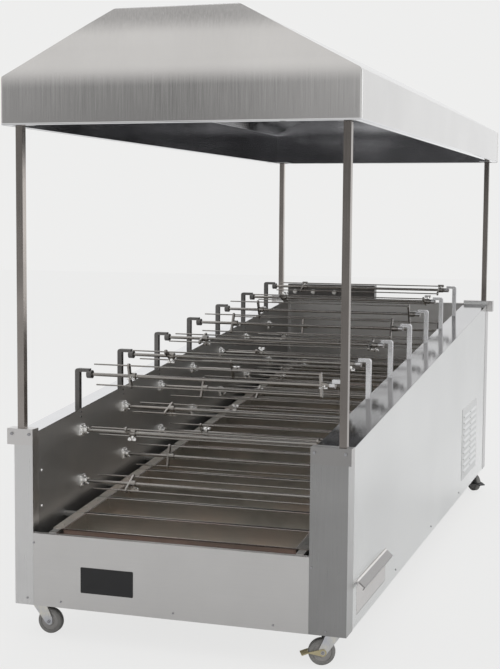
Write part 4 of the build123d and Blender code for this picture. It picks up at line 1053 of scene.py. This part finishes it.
# %% Camera
EYE = Vector((1.7637, -6.3417, 1.6391))
YAW, PITCH, ROLL = 0.3120, 0.0877, 0.0078
FOCAL_PIXELS, LONG_SIDE, SENSOR = 1331.03, 669.0, 36.0
forward = Vector((-sin(YAW), cos(YAW), 0))
sideways = Vector((cos(YAW), sin(YAW), 0))
up = Vector((0, 0, 1))
look = forward * cos(PITCH) - up * sin(PITCH)
head = up * cos(PITCH) + forward * sin(PITCH)
right = sideways * cos(ROLL) + head * sin(ROLL)
top = head * cos(ROLL) - sideways * sin(ROLL)
camera_data = bpy.data.cameras.new("camera")
camera_data.sensor_width = SENSOR
camera_data.lens = FOCAL_PIXELS * SENSOR / LONG_SIDE
camera_data.clip_start, camera_data.clip_end = 0.1, 100.0
camera = bpy.data.objects.new("camera", camera_data)
bpy.context.scene.collection.objects.link(camera)
turn = Matrix((right, top, -look)).transposed().to_4x4()
camera.matrix_world = Matrix.Translation(EYE) @ turn
bpy.context.scene.camera = camera
print("camera lens", round(camera_data.lens, 2), "at", tuple(EYE))

# %% [markdown]
# ## Studio
# A pale floor and a pale room, as in a product photograph. Flat sheet metal is
# mostly a picture of the room around it. So the room that the metal mirrors is
# pale at the sides and behind, and has a darker band at standing height in
# front, where a hall has its far wall. That band is what makes the hood's lower
# front dark and leaves its sloping part pale. The camera itself sees a plain
# backdrop.

# %% The room around the roaster
BACKDROP = (0.855, 0.855, 0.85, 1)
SIDES, FRONT = (0.93, 0.935, 0.94, 1), (0.93, 0.92, 0.91, 1)


def grey_ramp(nodes, value, stops):
    """A colour ramp of greys; stops are (position, grey)."""
    ramp = nodes.new("ShaderNodeValToRGB")
    elements = ramp.color_ramp.elements
    for element, (position, grey) in zip(elements, (stops[0], stops[-1])):
        element.position = position
        element.color = (grey, grey, grey, 1)
    for position, grey in stops[1:-1]:
        elements.new(position).color = (grey, grey, grey, 1)
    feed(ramp.inputs["Fac"], value)
    return ramp.outputs["Color"]


def mix_into(nodes, share, first, second, output):
    """Mix two shaders and hand the result to the output node."""
    mix = nodes.new("ShaderNodeMixShader")
    for socket, term in zip(mix.inputs, (share, first, second)):
        feed(socket, term)
    feed(nodes[output].inputs["Surface"], mix.outputs[0])


def studio_world():
    world = bpy.data.worlds.new("studio")
    bpy.context.scene.world = world
    world.use_nodes = True
    nodes = world.node_tree.nodes
    backdrop = nodes["Background"]
    feed(backdrop.inputs["Color"], BACKDROP)
    place = add_node(nodes, "TexCoord")["Generated"]
    split = add_node(nodes, "SeparateXYZ", Vector=place)
    across = add_node(nodes, "MapRange", Value=split["X"], From_Min=-1.0)["Result"]
    horizon = grey_ramp(nodes, across, [(0.20, 0.42), (0.26, 0.34), (0.33, 0.17), (0.40, 0.50), (0.55, 0.6)])
    above = grey_ramp(
        nodes, split["Z"], [(0.10, 0.0), (0.16, 0.35), (0.24, 1.0), (0.31, 1.0), (0.44, 0.35), (0.80, 0.6)]
    )
    front = mix_colours(nodes, above, horizon, FRONT)
    forwards = add_node(nodes, "MapRange", Value=split["Y"], From_Min=-0.35, From_Max=-0.75)["Result"]
    around = mix_colours(nodes, forwards, SIDES, front)
    room = add_node(nodes, "Background", Color=around, Strength=1.0)[0]
    seen = add_node(nodes, "LightPath")["Is Camera Ray"]
    mix_into(nodes, seen, room, backdrop.outputs[0], "World Output")


studio_world()
print("world", bpy.context.scene.world.name)

# %% The floor
FLOOR_SIZE, FLOOR_GREY, FLOOR_GLOW = 60, (0.8, 0.8, 0.8, 1), 0.88


def studio_floor():
    """A matt floor that the camera sees mostly as backdrop, so only soft shadows show."""
    clear_selection()
    bpy.ops.mesh.primitive_plane_add(size=FLOOR_SIZE, location=(0, 0, 0))
    floor = bpy.context.object
    floor.name = "floor"
    material = bpy.data.materials.new("pale_floor")
    material.use_nodes = True
    nodes = material.node_tree.nodes
    surface = nodes["Principled BSDF"]
    feed(surface.inputs["Base Color"], FLOOR_GREY)
    feed(surface.inputs["Roughness"], 0.9)
    feed(surface.inputs["Specular IOR Level"], 0.0)
    glow = add_node(nodes, "Emission", Color=BACKDROP)[0]
    seen = add_node(nodes, "LightPath")["Is Camera Ray"]
    share = math_node(nodes, "MULTIPLY", seen, FLOOR_GLOW)
    mix_into(nodes, share, surface.outputs[0], glow, "Material Output")
    floor.data.materials.append(material)


studio_floor()
print("floor", FLOOR_SIZE)

# %% Two area lamps
def lamp(name, place, target, size, power):
    data = bpy.data.lights.new(name, "AREA")
    data.shape = "RECTANGLE"
    data.size, data.size_y = size
    data.energy = power
    light = bpy.data.objects.new(name, data)
    bpy.context.scene.collection.objects.link(light)
    light.location = place
    aim = Vector(target) - Vector(place)
    light.rotation_euler = aim.to_track_quat("-Z", "Y").to_euler()


lamp("lamp_side", (5.5, 1.5, 6.5), (0.4, 0, 0.9), (4.0, 5.0), 32)
lamp("lamp_over", (0.0, 0.0, 6.5), (0, 0, 1.0), (5.0, 7.0), 45)
bpy.context.scene.view_settings.view_transform = "Standard"
print("studio ready")
